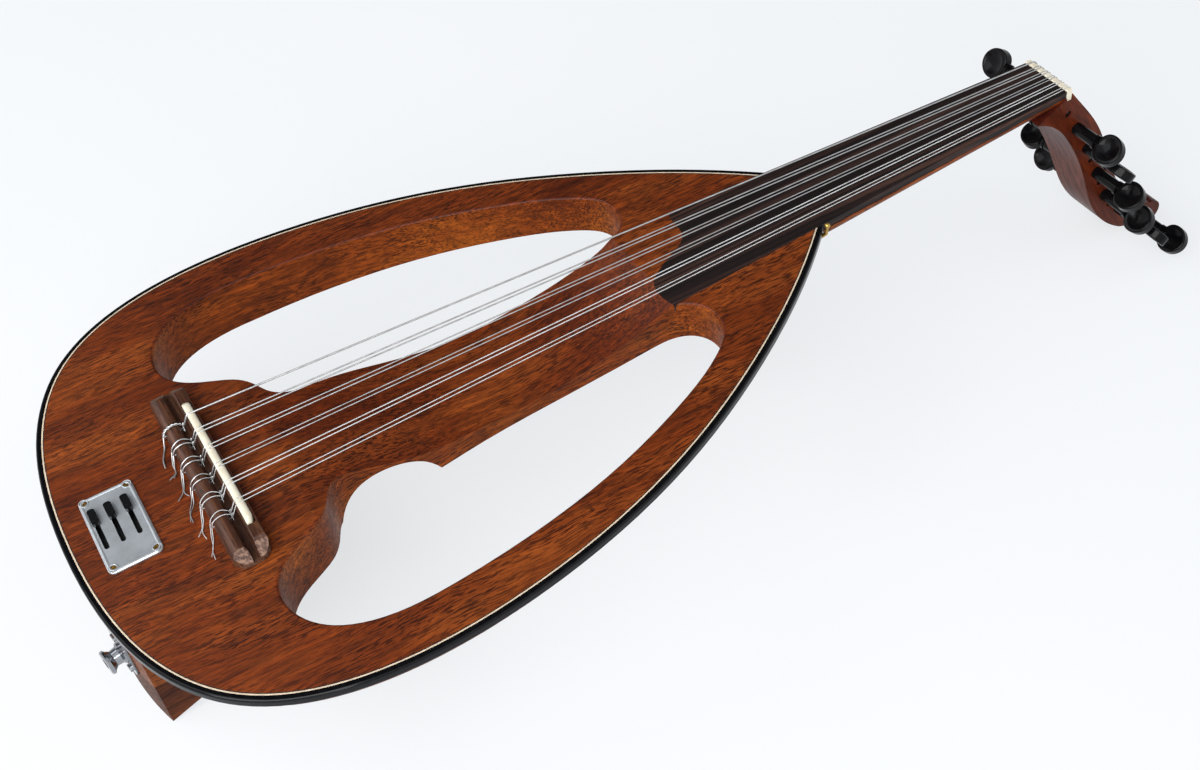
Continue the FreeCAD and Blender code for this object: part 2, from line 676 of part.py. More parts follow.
def pegbox():
    half = PEGBOX_REACH_Y
    outside = side_prism(pegbox_loop(), half).common(taper_wedge(PEGBOX_HALF_AT_NUT, PEGBOX_HALF_AT_TIP))
    floor = spline(upright(PEGBOX_SLOT_BACK, -half))
    slot_start = NUT_LENGTH + NUT_FIT
    opening = [PEGBOX_SLOT_BACK[-1], PEGBOX_SLOT_END] + PEGBOX_OPEN_SIDE
    opening += [(slot_start, HEADROOM), (slot_start, -NUT_DEPTH - OVERSHOOT), PEGBOX_SLOT_BACK[0]]
    slot = side_prism([floor] + segments(upright(opening, -half)), half)
    slot = slot.common(taper_wedge(PEGBOX_HALF_AT_NUT - CHEEK_AT_NUT, PEGBOX_HALF_AT_TIP - CHEEK_AT_TIP))
    shell = outside.cut(slot)
    return shell.cut([peg_hole(p) for p in PEGS])


def peg_radius(peg, y):
    """Radius of the tapered shaft where it crosses the plane at y."""
    x, z, side, _ = peg
    return PEG_ROOT_RADIUS - PEG_TAPER * (pegbox_half(x, z) - side * y)


def peg_shaft(peg, fit, tip_y):
    """Tapered shaft from the cheek at the head's side to tip_y on the other side."""
    x, z, side, _ = peg
    root_y = pegbox_half(x, z) + PEG_STEM_GAP
    tip_radius = peg_radius(peg, -side * tip_y) + fit
    root_radius = peg_radius(peg, side * root_y) + fit
    return Part.makeCone(tip_radius, root_radius, root_y + tip_y, V(x, -side * tip_y, z), V(0, side, 0))


def peg_hole(peg):
    x, z, _, _ = peg
    return peg_shaft(peg, PEG_FIT, pegbox_half(x, z) + PEG_HOLE_RUNOUT)


def peg_head():
    """Dished heart-shaped head lying flat, its stem end at the origin and pointing along +Y."""
    half = PEG_HEAD_THICKNESS / 2
    right = [(w, s) for s, w in PEG_HEAD_OUTLINE]
    left = [(-w, s) for w, s in right[-2::-1]]
    rim = flat(right + left, -half)
    plate = prism(Part.Wire([spline(rim), Part.makeLine(rim[-1], rim[0])]), PEG_HEAD_THICKNESS)
    edges = [e for e in plate.Edges if e.Length > 4 * PEG_HEAD_THICKNESS]
    plate = plate.makeFillet(PEG_HEAD_EDGE, edges)
    ball = (PEG_DISH_RADIUS ** 2 + PEG_DISH_DEPTH ** 2) / (2 * PEG_DISH_DEPTH)
    reach = half - PEG_DISH_DEPTH + ball
    return plate.cut([Part.makeSphere(ball, V(0, PEG_DISH_MIDDLE, side * reach)) for side in (1, -1)])


def peg(index):
    spec = PEGS[index]
    x, z, side, turn = spec
    half = pegbox_half(x, z)
    shaft = peg_shaft(spec, 0, half - PEG_TIP_RECESS)
    outward = V(0, side, 0)
    stem_y = half + PEG_STEM_GAP
    stem = Part.makeCylinder(PEG_STEM_RADIUS, PEG_RING_Y - stem_y, V(x, side * stem_y, z), outward)
    ring = Part.makeCylinder(PEG_RING_RADIUS, PEG_RING_LENGTH, V(x, side * PEG_RING_Y, z), outward)
    waist_y = PEG_RING_Y + PEG_RING_LENGTH
    waist_length = PEG_HEAD_Y - waist_y + PEG_WAIST_TENON
    waist = Part.makeCylinder(PEG_WAIST_RADIUS, waist_length, V(x, side * waist_y, z), outward)
    head = peg_head()
    if side < 0:
        head.rotate(V(0, 0, 0), UP, 180)
    head.rotate(V(0, 0, 0), V(0, 1, 0), turn)
    head.translate(V(x, side * PEG_HEAD_Y, z))
    return shaft.fuse([stem, ring, waist, head]).removeSplitter()


# ---------------------------------------------------------------- bridge and strings
def string_lines():
    """(y at the saddle, y at the nut) of every string, bass first."""
    lines = [(SADDLE_CENTRE_Y + SADDLE_SPREAD / 2, NUT_SPREAD / 2)]
    for course in range(1, 6):
        y_saddle = SADDLE_CENTRE_Y + SADDLE_SPREAD / 2 - course * SADDLE_SPREAD / 5
        y_nut = NUT_SPREAD / 2 - course * NUT_SPREAD / 5
        for side in (1, -1):
            lines.append((y_saddle + side * SADDLE_PAIR_GAP / 2, y_nut + side * NUT_PAIR_GAP / 2))
    return lines


def string_height_at_nut(index):
    return NUT_HEIGHT + STRING_DIAMETERS[index] / 2 - NUT_NOTCH


def string_height_at_saddle(index):
    return SADDLE_TOP + STRING_DIAMETERS[index] / 2 - SADDLE_NOTCH


def slot_half(x, z):
    """Half the pegbox's inner width at a place along it."""
    at_nut = PEGBOX_HALF_AT_NUT - CHEEK_AT_NUT
    at_tip = PEGBOX_HALF_AT_TIP - CHEEK_AT_TIP
    return lerp(at_nut, at_tip, along_pegbox(x, z) / PEGBOX_LENGTH)


def string_points(index):
    """Centre line from the tie block over saddle and nut to the front of its peg."""
    y_saddle, y_nut = string_lines()[index]
    radius = STRING_DIAMETERS[index] / 2
    peg_spec = PEGS[PEG_OF_STRING[index]]
    axis = V(peg_spec[0], 0, peg_spec[1])
    over_nut = V(NUT_LENGTH + STRING_PAST_NUT, y_nut, string_height_at_nut(index))
    room = (slot_half(axis.x, axis.z) - STRING_SIDE_ROOM) / (PEGBOX_HALF_AT_NUT - CHEEK_AT_NUT)
    wrap = V(axis.x, y_nut * room, axis.z)
    to_peg = V(wrap.x - over_nut.x, 0, wrap.z - over_nut.z).normalize()
    front = V(-to_peg.z, 0, to_peg.x)
    at_peg = wrap + front * (peg_radius(peg_spec, wrap.y) + radius + STRING_GAP)
    return [V(BRIDGE_BACK_X - STRING_PAST_BRIDGE, y_saddle, TIE_HOLE_Z),
            V(TIE_FRONT_X + STRING_PAST_TIE, y_saddle, TIE_HOLE_Z),
            V(SADDLE_X - SADDLE_THICKNESS / 2, y_saddle, string_height_at_saddle(index)),
            over_nut, at_peg]


def string(index):
    return tube_path(string_points(index), STRING_DIAMETERS[index] / 2, STRING_BEND)


def bridge_profile(y):
    """Tie block, groove and saddle wall as one closed outline, seen from the treble end."""
    wall_x = SADDLE_X - SADDLE_THICKNESS / 2 - SADDLE_WALL
    points = [(BRIDGE_BACK_X, 0), (BRIDGE_BACK_X, 5.4), (BRIDGE_BACK_X + 2.6, TIE_TOP),
              (TIE_FRONT_X - 1.2, TIE_TOP), (TIE_FRONT_X, TIE_TOP - 1.4), (TIE_FRONT_X, BRIDGE_FLOOR),
              (wall_x, BRIDGE_FLOOR), (wall_x, BRIDGE_TOP - 2.2), (wall_x + SADDLE_WALL, BRIDGE_TOP),
              (BRIDGE_FRONT_X - 0.8, BRIDGE_TOP),
              (BRIDGE_FRONT_X, BRIDGE_TOP - 1.2), (BRIDGE_FRONT_X, 0)]
    return upright(points + points[:1], y)


def saddle_block(inset, z0, z1):
    half = SADDLE_THICKNESS / 2 - inset
    return box(SADDLE_X - half, SADDLE_X + half, SADDLE_Y[0] + inset, SADDLE_Y[1] - inset, z0, z1)


def bridge_end_slope(side):
    """Wedge taken off the top of one end of the bridge."""
    crest = V(BRIDGE_BACK_X - OVERSHOOT, side * (BRIDGE_HALF - BRIDGE_END_LENGTH), BRIDGE_END_TOP)
    out = V(0, side * BRIDGE_END_RUN, 0)
    outline = segments([crest, crest + out, crest + out - UP * BRIDGE_END_TOP, crest])
    width = BRIDGE_FRONT_X - BRIDGE_BACK_X + 2 * OVERSHOOT
    return Part.Face(Part.Wire(outline)).extrude(V(width, 0, 0))


def bridge():
    solid = side_prism(segments(bridge_profile(-BRIDGE_HALF)), BRIDGE_HALF)
    plan = rounded_plate(BRIDGE_BACK_X, BRIDGE_FRONT_X, -BRIDGE_HALF, BRIDGE_HALF, 0, SADDLE_TOP,
                         BRIDGE_CORNER)
    solid = solid.common(plan).cut([bridge_end_slope(1), bridge_end_slope(-1)])
    back, front = BRIDGE_BACK_X - OVERSHOOT, TIE_FRONT_X + OVERSHOOT
    holes = [round_bore(V(back, y, TIE_HOLE_Z), V(front, y, TIE_HOLE_Z), TIE_HOLE_RADIUS)
             for y, _ in string_lines()]
    lead_hole = round_bore(V(SADDLE_X, PICKUP_WAY_Y, -OVERSHOOT),
                           V(SADDLE_X, PICKUP_WAY_Y, SADDLE_FOOT_Z + OVERSHOOT), PICKUP_HOLE_RADIUS)
    return solid.cut(saddle_block(0, SADDLE_FOOT_Z, SADDLE_TOP + OVERSHOOT)).cut(holes + [lead_hole])


def saddle():
    block = saddle_block(0, SADDLE_FOOT_Z + PICKUP_STRIP, SADDLE_TOP)
    block = block.makeFillet(SADDLE_ROUND, top_edges(block, SADDLE_TOP))
    return block.cut([string(i) for i in range(STRING_COUNT)])


def saddle_pickup():
    return saddle_block(PICKUP_STRIP_FIT, SADDLE_FOOT_Z, SADDLE_FOOT_Z + PICKUP_STRIP)


# ---------------------------------------------------------------- preamp
def plate_screw_points():
    return [(x, y) for x in (PLATE_X[0] + SCREW_INSET, PLATE_X[1] - SCREW_INSET)
            for y in (PLATE_Y[0] + SCREW_INSET, PLATE_Y[1] - SCREW_INSET)]


def plate_screw_holes():
    radius, depth = PLATE_SCREW_HOLE
    return [round_bore(V(x, y, OVERSHOOT), V(x, y, -depth), radius) for x, y in plate_screw_points()]


def preamp_plate():
    plate = rounded_plate(*PLATE_X, *PLATE_Y, 0, PLATE_THICKNESS, PLATE_CORNER)
    plate = plate.makeChamfer(PLATE_BEVEL, top_edges(plate, PLATE_THICKNESS))
    half = SLIDER_SLOT_WIDTH / 2
    above = PLATE_THICKNESS + OVERSHOOT
    slots = [rounded_plate(x - half, x + half, *SLIDER_SLOT_Y, -OVERSHOOT, above, SLIDER_SLOT_CORNER)
             for x in SLIDER_X]
    holes = []
    sink = PLATE_SCREW_SINK + PLATE_SINK_FIT
    for x, y in plate_screw_points():
        holes.append(round_bore(V(x, y, -OVERSHOOT), V(x, y, above), PLATE_HOLE_RADIUS))
        seat = V(x, y, PLATE_THICKNESS - sink)
        holes.append(Part.makeCone(PLATE_HOLE_RADIUS, PLATE_SINK_RADIUS, sink, seat))
    return plate.cut(slots + holes)


def flat_headed_screw(point, outward, size):
    """Screw with a flat round head and a straight driver slot."""
    head_radius, head_height, shank_radius, length = size
    head = Part.makeCylinder(head_radius, head_height, point, outward)
    shank = Part.makeCylinder(shank_radius, length, point, outward * -1)
    depth = head_height * SCREW_SLOT_DEPTH
    along = outward.cross(UP).normalize() * 2 * (head_radius + OVERSHOOT)
    across = outward.cross(along).normalize() * SCREW_SLOT_WIDTH
    corner = point + outward * (head_height - depth) - along / 2 - across / 2
    edges = segments([corner, corner + along, corner + along + across, corner + across, corner])
    slot = Part.Face(Part.Wire(edges)).extrude(outward * depth * 2)
    return head.fuse(shank).cut(slot)


def preamp_plate_screws():
    screws = []
    for x, y in plate_screw_points():
        seat = V(x, y, PLATE_THICKNESS - PLATE_SCREW_SINK)
        head = Part.makeCone(PLATE_SCREW_RADIUS, PLATE_SCREW_HEAD, PLATE_SCREW_SINK, seat)
        shank = Part.makeCylinder(PLATE_SCREW_RADIUS, PLATE_SCREW_LENGTH, seat, V(0, 0, -1))
        dome = Part.makeCylinder(PLATE_SCREW_HEAD, PLATE_SCREW_DOME, V(x, y, PLATE_THICKNESS))
        reach, half, depth = PLATE_SCREW_CROSS
        floor, above = PLATE_THICKNESS - depth, PLATE_THICKNESS + OVERSHOOT
        cross = [box(x - reach, x + reach, y - half, y + half, floor, above),
                 box(x - half, x + half, y - reach, y + reach, floor, above)]
        screws.append(head.fuse([shank, dome]).cut(cross))
    return Part.makeCompound(screws)


def slider_knob(index):
    x = SLIDER_X[index]
    width, length, height = SLIDER_KNOB
    y_high = SLIDER_SLOT_Y[1] - SLIDER_END_GAP
    base = PLATE_THICKNESS + SLIDER_KNOB_LIFT
    cap = rounded_plate(x - width / 2, x + width / 2, y_high - length, y_high, base, base + height,
                        SLIDER_KNOB_CORNER)
    groove_width, groove_depth = SLIDER_RIDGE_GROOVE
    grooves = []
    for k in range(SLIDER_RIDGES):
        y = y_high - SLIDER_RIDGE_FIRST - k * SLIDER_RIDGE_PITCH
        grooves.append(box(x - width, x + width, y, y + groove_width,
                           base + height - groove_depth, base + height + OVERSHOOT))
    stem_width, stem_length = SLIDER_STEM
    y_middle = y_high - length / 2
    stem = box(x - stem_width / 2, x + stem_width / 2, y_middle - stem_length / 2, y_middle + stem_length / 2,
               SLIDER_STEM_FOOT_Z, base + SLIDER_KNOB_LIFT)
    return cap.fuse(stem).cut(grooves)


def slider_pots():
    low, high = SLIDER_SLOT_Y
    pots = []
    for x in SLIDER_X:
        case = box(x - POT_HALF, x + POT_HALF, low - POT_END, high + POT_END, *POT_Z)
        way = box(x - POT_WAY_HALF, x + POT_WAY_HALF, low - POT_WAY_END, high + POT_WAY_END,
                  POT_WAY_Z, OVERSHOOT)
        pots.append(case.cut(way))
    return Part.makeCompound(pots)


def preamp_board():
    """Circuit board under the sliders, with two chips and three can capacitors below it."""
    board = cavity_box(BOARD_Z + BOARD_THICKNESS, BOARD_Z, BOARD_MARGIN)
    length, width, height = CHIP_SIZE
    chips = [box(x, x + length, y, y + width, BOARD_Z - height, BOARD_Z) for x, y in CHIP_CORNERS]
    capacitors = [Part.makeCylinder(CAPACITOR_RADIUS, CAPACITOR_LENGTH, V(x, y, BOARD_Z - CAPACITOR_LENGTH))
                  for x, y in CAPACITORS]
    return board.fuse(chips + capacitors)


def battery():
    length_x, length_y, height = BATTERY_SIZE
    x1 = LEG_HEAD_X - BATTERY_INSET
    contact_y = -length_y / 2 + BATTERY_CONTACT_ROOM
    cell = box(x1 - length_x, x1, contact_y, length_y / 2, BATTERY_Z - height / 2, BATTERY_Z + height / 2)
    cell = cell.makeFillet(BATTERY_EDGE, [e for e in cell.Edges if e.BoundBox.YLength > length_y / 2])
    middle_x = x1 - length_x / 2
    studs = [Part.makeCylinder(*BATTERY_STUD, V(middle_x + side * BATTERY_STUD_OUT, contact_y, BATTERY_Z),
                               V(0, -1, 0)) for side in (-1, 1)]
    return cell.fuse(studs)


def snap_end():
    """Where the battery lead meets the snap, near the wall of the bay."""
    length_x, length_y, _ = BATTERY_SIZE
    middle_x = LEG_HEAD_X - BATTERY_INSET - length_x / 2
    return V(middle_x - SNAP_SIZE[0] / 2, -length_y / 2 + SNAP_FROM_BAY, BATTERY_Z)


def battery_snap():
    """Press-stud connector pushed onto the two studs of the battery."""
    end = snap_end()
    length, thickness, height = SNAP_SIZE
    plate = box(end.x, end.x + length, end.y - thickness / 2, end.y + thickness / 2,
                end.z - height / 2, end.z + height / 2)
    corners = [e for e in plate.Edges if e.BoundBox.YLength > thickness / 2]
    return plate.makeFillet(SNAP_CORNER, corners)


def lid_screw_points():
    length_y = BATTERY_SIZE[1]
    return [V(LEG_HEAD_X, side * (length_y / 2 + LID_SCREW_OUT), BATTERY_Z) for side in (1, -1)]


def lid_screw_holes():
    radius, depth = LID_SCREW_HOLE
    return [round_bore(p + V(OVERSHOOT, 0, 0), p - V(depth, 0, 0), radius) for p in lid_screw_points()]


def battery_lid():
    length_y, height = BATTERY_SIZE[1], BATTERY_SIZE[2]
    half_y, half_z = length_y / 2 + LID_MARGIN[0], height / 2 + LID_MARGIN[1]
    lid = box(LEG_HEAD_X, LEG_HEAD_X + LID_THICKNESS, -half_y, half_y, BATTERY_Z - half_z, BATTERY_Z + half_z)
    corners = [e for e in lid.Edges if e.BoundBox.XLength > LID_THICKNESS / 2]
    lid = lid.makeFillet(LID_CORNER, corners)
    through = V(LID_THICKNESS + OVERSHOOT, 0, 0)
    back = V(OVERSHOOT, 0, 0)
    return lid.cut([round_bore(p - back, p + through, LID_HOLE_RADIUS) for p in lid_screw_points()])


def battery_lid_screws():
    return Part.makeCompound([flat_headed_screw(p + V(LID_THICKNESS, 0, 0), V(1, 0, 0), LID_SCREW)
                              for p in lid_screw_points()])


# ---------------------------------------------------------------- jack
def jack_screw_points():
    face, outward = jack_frame()
    reach = JACK_PLATE_SIZE[1] / 2 - JACK_SCREW_INSET
    return [face + V(0, 0, side * reach) for side in (1, -1)], outward


def jack_screw_holes():
    points, outward = jack_screw_points()
    radius, depth = JACK_SCREW_HOLE
    return [round_bore(p + outward * OVERSHOOT, p - outward * depth, radius) for p in points]


def jack_plate():
    face, outward = jack_frame()
    width, height, thickness = JACK_PLATE_SIZE
    plate = rounded_plate(-height / 2, height / 2, -width / 2, width / 2, 0, thickness, JACK_PLATE_CORNER)
    plate.Placement = placement_along(face, outward)
    points, _ = jack_screw_points()
    above, below = outward * (thickness + OVERSHOOT), outward * OVERSHOOT
    holes = [round_bore(p + above, p - below, JACK_PLATE_SCREW_HOLE) for p in points]
    return plate.cut(holes + [round_bore(face + above, face - below, JACK_PLATE_HOLE)])


def placement_along(origin, outward):
    """Placement whose Z is outward and whose X is the drawing's vertical."""
    return FreeCAD.Placement(origin, FreeCAD.Rotation(UP, outward.cross(UP), outward, "XZY"))


def jack_screws():
    points, outward = jack_screw_points()
    raised = outward * JACK_PLATE_SIZE[2]
    return Part.makeCompound([flat_headed_screw(p + raised, outward, JACK_SCREW) for p in points])


def strap_button():
    face, outward = jack_frame()
    base = face + outward * JACK_PLATE_SIZE[2]
    half_profile = [(JACK_BORE, 0)] + STRAP_RING + [(JACK_BORE, STRAP_RING[-1][1]), (JACK_BORE, 0)]
    wire = Part.Wire(segments(upright(half_profile, 0)))
    spool = Part.Face(wire).revolve(V(0, 0, 0), UP, 360)
    spool = Part.Solid(spool) if spool.ShapeType != "Solid" else spool
    spool.Placement = FreeCAD.Placement(base, FreeCAD.Rotation(UP, outward))
    return spool


def jack_barrel():
    face, outward = jack_frame()
    base = face + outward * JACK_PLATE_SIZE[2]
    tube = round_bore(base, base - outward * JACK_NECK_LENGTH, JACK_NECK_RADIUS)
    body = round_bore(face - outward * JACK_BODY_START, face - outward * JACK_BODY_LENGTH, JACK_BODY_RADIUS)
    bore = round_bore(base + outward * OVERSHOOT, base - outward * JACK_BORE_LENGTH, JACK_BORE)
    return tube.fuse(body).removeSplitter().cut(bore)


# ---------------------------------------------------------------- leads and pin
def pickup_lead():
    top = V(SADDLE_X, PICKUP_WAY_Y, PICKUP_LEAD_TOP)
    corner = V(SADDLE_X, PICKUP_WAY_Y, PICKUP_WAY_Z)
    return tube_path([top, corner, V(*PICKUP_LEAD_END, PICKUP_WAY_Z)], WIRE_RADIUS, WIRE_BEND)


def battery_lead():
    top = V(*BATTERY_WAY, BOARD_Z - WIRE_FROM_BOARD)
    corner = V(*BATTERY_WAY, BATTERY_Z)
    end = snap_end() - V(WIRE_FROM_SNAP, 0, 0)
    return tube_path([top, corner, end], WIRE_RADIUS, BATTERY_WIRE_BEND)


def jack_lead():
    face, outward = jack_frame()
    tail, corner = [face - outward * (JACK_BODY_LENGTH + run) for run in JACK_LEAD_STRAIGHT]
    cavity = V(*JACK_WAY_TOP, JACK_WAY_DROP - CAVITY_DEPTH)
    end = V(JACK_WAY_TOP[0], JACK_LEAD_END_Y, BOARD_Z - WIRE_FROM_BOARD)
    return tube_path([tail, corner, cavity, end], WIRE_RADIUS, WIRE_BEND)


def strap_pin_points():
    """Screw end inside the wood, bend just outside the binding, and middle of the ball."""
    bend = V(*STRAP_PIN_BEND)
    return bend + V(*STRAP_PIN_INWARD).normalize() * STRAP_PIN_SCREW, bend, bend + V(*STRAP_PIN_RISE)


def strap_pin_hole():
    inner, bend, _ = strap_pin_points()
    return round_bore(inner, bend, STRAP_PIN_RADIUS + STRAP_PIN_FIT)


def strap_pin():
    inner, bend, top = strap_pin_points()
    rod = tube_path([inner, bend, top], STRAP_PIN_RADIUS, STRAP_PIN_TURN)
    return rod.fuse(Part.makeSphere(STRAP_PIN_BALL, top)).removeSplitter()


# ---------------------------------------------------------------- assembly
def build_all():
    parts = {
        "body_frame": body_frame(),
        "binding": binding(),
        "purfling_cream": purfling(BINDING_WIDTH, CREAM_LINE),
        "purfling_dark": purfling(BINDING_WIDTH + CREAM_LINE, DARK_LINE),
        "leg_upper": leg_upper(),
        "leg_foot": leg_foot(),
        "fingerboard": fingerboard(),
        "neck": neck(),
        "nut": nut(),
        "pegbox": pegbox(),
        "bridge": bridge(),
        "saddle": saddle(),
        "saddle_pickup": saddle_pickup(),
        "preamp_plate": preamp_plate(),
        "preamp_plate_screws": preamp_plate_screws(),
        "preamp_board": preamp_board(),
        "slider_pots": slider_pots(),
        "battery": battery(),
        "battery_snap": battery_snap(),
        "battery_lid": battery_lid(),
        "battery_lid_screws": battery_lid_screws(),
        "jack_plate": jack_plate(),
        "jack_screws": jack_screws(),
        "strap_button": strap_button(),
        "jack_barrel": jack_barrel(),
        "pickup_lead": pickup_lead(),
        "battery_lead": battery_lead(),
        "jack_lead": jack_lead(),
        "neck_strap_pin": strap_pin(),
    }
    for i, name in enumerate(SLIDER_NAMES):
        parts["slider_knob_" + name] = slider_knob(i)
    for i in range(len(PEGS)):
        parts["peg_%02d" % (i + 1)] = peg(i)
    for i in range(STRING_COUNT):
        parts["string_%02d" % (i + 1)] = string(i)
    return parts


def stand_on_ground(parts):
    """Tip the instrument onto leg and pegbox tip; origin under the middle of its box."""
    angle = -math.degrees(math.atan(rest_slope()))
    for shape in parts.values():
        shape.rotate(V(0, 0, 0), V(0, 1, 0), angle)
    everything = Part.makeCompound(list(parts.values()))
    bounds = everything.optimalBoundingBox(False)
    shift = V(-(bounds.XMin + bounds.XMax) / 2, -(bounds.YMin + bounds.YMax) / 2, -bounds.ZMin)
    for shape in parts.values():
        shape.translate(shift)
    return angle, shift


def main():
    parts = build_all()
    angle, shift = stand_on_ground(parts)
    print("tipped by %.3f degrees about Y, then moved by (%.3f, %.3f, %.3f)"
          % (angle, shift.x, shift.y, shift.z))
    os.makedirs("parts", exist_ok=True)
    for name, shape in parts.items():
        solids = len(shape.Solids)
        print("%-24s solids %d valid %s volume %.1f" % (name, solids, shape.isValid(), shape.Volume))
        shape.exportStep(os.path.join("parts", name + ".step"))


main()
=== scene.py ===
import json
import math

import bmesh
import bpy
from mathutils import Matrix, Vector


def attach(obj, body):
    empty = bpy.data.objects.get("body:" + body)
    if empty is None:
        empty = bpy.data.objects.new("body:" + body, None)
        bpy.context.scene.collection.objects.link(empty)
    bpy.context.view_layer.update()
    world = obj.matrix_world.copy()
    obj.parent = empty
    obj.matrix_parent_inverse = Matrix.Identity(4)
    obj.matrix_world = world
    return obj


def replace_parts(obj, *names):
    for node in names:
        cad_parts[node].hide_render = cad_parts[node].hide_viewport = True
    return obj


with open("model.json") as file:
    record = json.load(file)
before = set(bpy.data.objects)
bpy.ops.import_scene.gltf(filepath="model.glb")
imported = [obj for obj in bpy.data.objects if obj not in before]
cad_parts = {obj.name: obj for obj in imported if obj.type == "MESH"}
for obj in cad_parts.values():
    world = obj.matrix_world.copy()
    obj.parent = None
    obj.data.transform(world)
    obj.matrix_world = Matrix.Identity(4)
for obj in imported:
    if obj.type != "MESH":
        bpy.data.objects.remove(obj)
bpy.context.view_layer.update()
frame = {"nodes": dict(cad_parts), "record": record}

RECORD = frame["record"]
NODES = frame["nodes"]
MM = 0.001

# ------------------------------------------------------------------ sizes, in millimetres
# Shapes are drawn level, with the nut at X = 0, the soundboard at Z = 0 and the bass side
# towards +Y. FIRST_PEG and LAST_PEG are peg axes in that drawing.
FIRST_PEG = (3.5, -20.0)
LAST_PEG = (96.5, -162.5)

STRING_DIAMETERS = [1.15, 0.9, 0.9, 0.8, 0.8, 0.7, 0.7, 0.65, 0.65, 0.55, 0.55]
PEG_OF_STRING = [10, 8, 9, 6, 7, 4, 5, 2, 3, 0, 1]
SADDLE_SPREAD, NUT_SPREAD = 80.4, 34.8
SADDLE_PAIR_GAP, NUT_PAIR_GAP = 3.2, 2.4
STRING_CENTRE_Y = 0.8
NUT_LENGTH, NUT_HEIGHT, NUT_NOTCH = 4.5, 1.1, 0.45
# where a string leaves the nut, its lift off the peg, and how far it keeps from the cheeks
PAST_NUT, STRING_LIFT, CHEEK_ROOM = 0.5, 0.35, 2.5

PEGBOX_START = Vector((4.7, 0, -3))
PEGBOX_END = Vector((112.5, 0, -181.5))
PEGBOX_LENGTH = 205.0
# half width of the pegbox and thickness of its cheeks, at its start and at its end
PEGBOX_HALF = (22.3, 13.0)
CHEEK = (4.0, 4.5)
PEG_ROOT_RADIUS, PEG_TAPER = 4.2, 0.036

BRIDGE_BACK, BRIDGE_FRONT = -629.0, -606.5
BRIDGE_HALF, BRIDGE_TOP = 76.0, 10.6
BRIDGE_CORNER = 8.5
BRIDGE_CREST = BRIDGE_TOP - 0.1
GROOVE_FLOOR, SLOT_FLOOR, SLOT_PLAY = 2.4, 7.5, 0.3
# the bridge's ends rise from END_HEIGHT at the first slope, then at the second
END_HEIGHT, END_REACH, END_SLOPES = 3.6, 7.5, (0.72, 0.62)
# wood is bare on the carved ends within WORN_REACH, and a little scuffed at the very ends
WORN_REACH, WORN_ABOVE, SCUFF_REACH, SCUFF = 8.0, 4, 2.0, 0.15
TIE_TOP, TIE_HOLE_Z, TIE_FRONT = 9.6, 4.6, -619.0
SADDLE_BACK, SADDLE_FRONT = -613.0, -608.2
SADDLE_ENDS = (-56.0, 52.8)
SADDLE_ROOT, SADDLE_TOP, SADDLE_NOTCH = 7.0, 13.4, 0.3
# how long the saddle's sloping ends and the bevel of its treble end are, and how steep
SADDLE_END, SADDLE_BEVEL = (3.0, 0.6), (5.0, 0.34)

PLATE_X, PLATE_Y = (-690.2, -657.8), (-36.4, 25.4)
PLATE_TOP, PLATE_CORNER = 1.5, 4.0
PLATE_SCREW_INSET = 3.1
# how far the trim sits into the plate
SEATED = 0.02
# the rim's insets from the plate's edge and rises, and a cup's radii and rises
RIM_PROFILE = [(0.75, 0.0), (0.85, 0.35), (1.2, 0.5), (1.7, 0.5), (2.1, 0.3), (2.4, 0.0)]
CUP_PROFILE = [(3.0, 0.0), (2.9, 0.45), (2.6, 0.55), (2.35, 0.4), (2.25, 0.0)]
CUP_SIDES = 28

# Thicknesses beside the string's own: the two strands that the bass string is wound from at
# its loop, the last part of that loop, the other strings' loops, and the loose ends.
STRAND_SHARE, KNOT_SHARE, LOOP_SHARE, TAIL_SHARE = 0.72, 0.8, 0.9, 0.85
# how far those strands run from their middle line in string radii, and how often they turn
STRAND_SPACING, STRAND_TURNS = 0.75, 3.5
# point of the loop where the strands end
LOOP_TO_KNOT = 5

# Coil round a peg: its turns and the steps in each, then its pitch in string radii, how many
# turns aside it starts, and its gap to the peg.
COIL_TURNS, COIL_STEPS = 2.6, 20
COIL_PITCH, COIL_START, COIL_CLEARANCE = 2.06, 1.1, 0.02

# height of a loose end's middle and tip over the soundboard
TAIL_CLEARANCE, TAIL_TIP_LIFT = 0.15, 0.9

# Loose end of each string behind the bridge: how far it runs towards the tail, how far
# towards the treble side, and how much it bows.
TAILS = [(7.0, 20.5, 1.0), (8.0, 16.5, -2.5), (5.3, 13.0, -1.0), (9.3, 18.6, -1.5), (2.4, 15.6, 1.5),
         (7.5, 22.5, 1.5), (8.5, 18.0, 1.0), (8.4, 18.0, -1.0), (5.2, 18.8, 1.5), (7.2, 19.5, -0.8),
         (6.1, 19.3, 1.0)]


# ------------------------------------------------------------------ the instrument's own axes
def level_frame():
    """Matrix from the level drawing to the row frame, and its turn about Y."""
    joints = [j for j in RECORD["behaviour"]["joints"] if j["name"].startswith("peg_")]
    first = Vector(joints[0]["pos_m"])
    last = Vector(joints[-1]["pos_m"])
    drawn = math.atan2(LAST_PEG[1] - FIRST_PEG[1], LAST_PEG[0] - FIRST_PEG[0])
    stands = math.atan2(last.z - first.z, last.x - first.x)
    turn = Matrix.Rotation(drawn - stands, 4, "Y")
    moved = turn @ (Vector((FIRST_PEG[0], 0, FIRST_PEG[1])) * MM)
    return Matrix.Translation(first - moved) @ turn, drawn - stands


LEVEL, TIP_ANGLE = level_frame()


def place(x, y, z):
    """Row-frame point of a place drawn level, in millimetres."""
    return LEVEL @ (Vector((x, y, z)) * MM)


def level(point):
    """The reverse of place."""
    return (LEVEL.inverted() @ Vector(point)) / MM


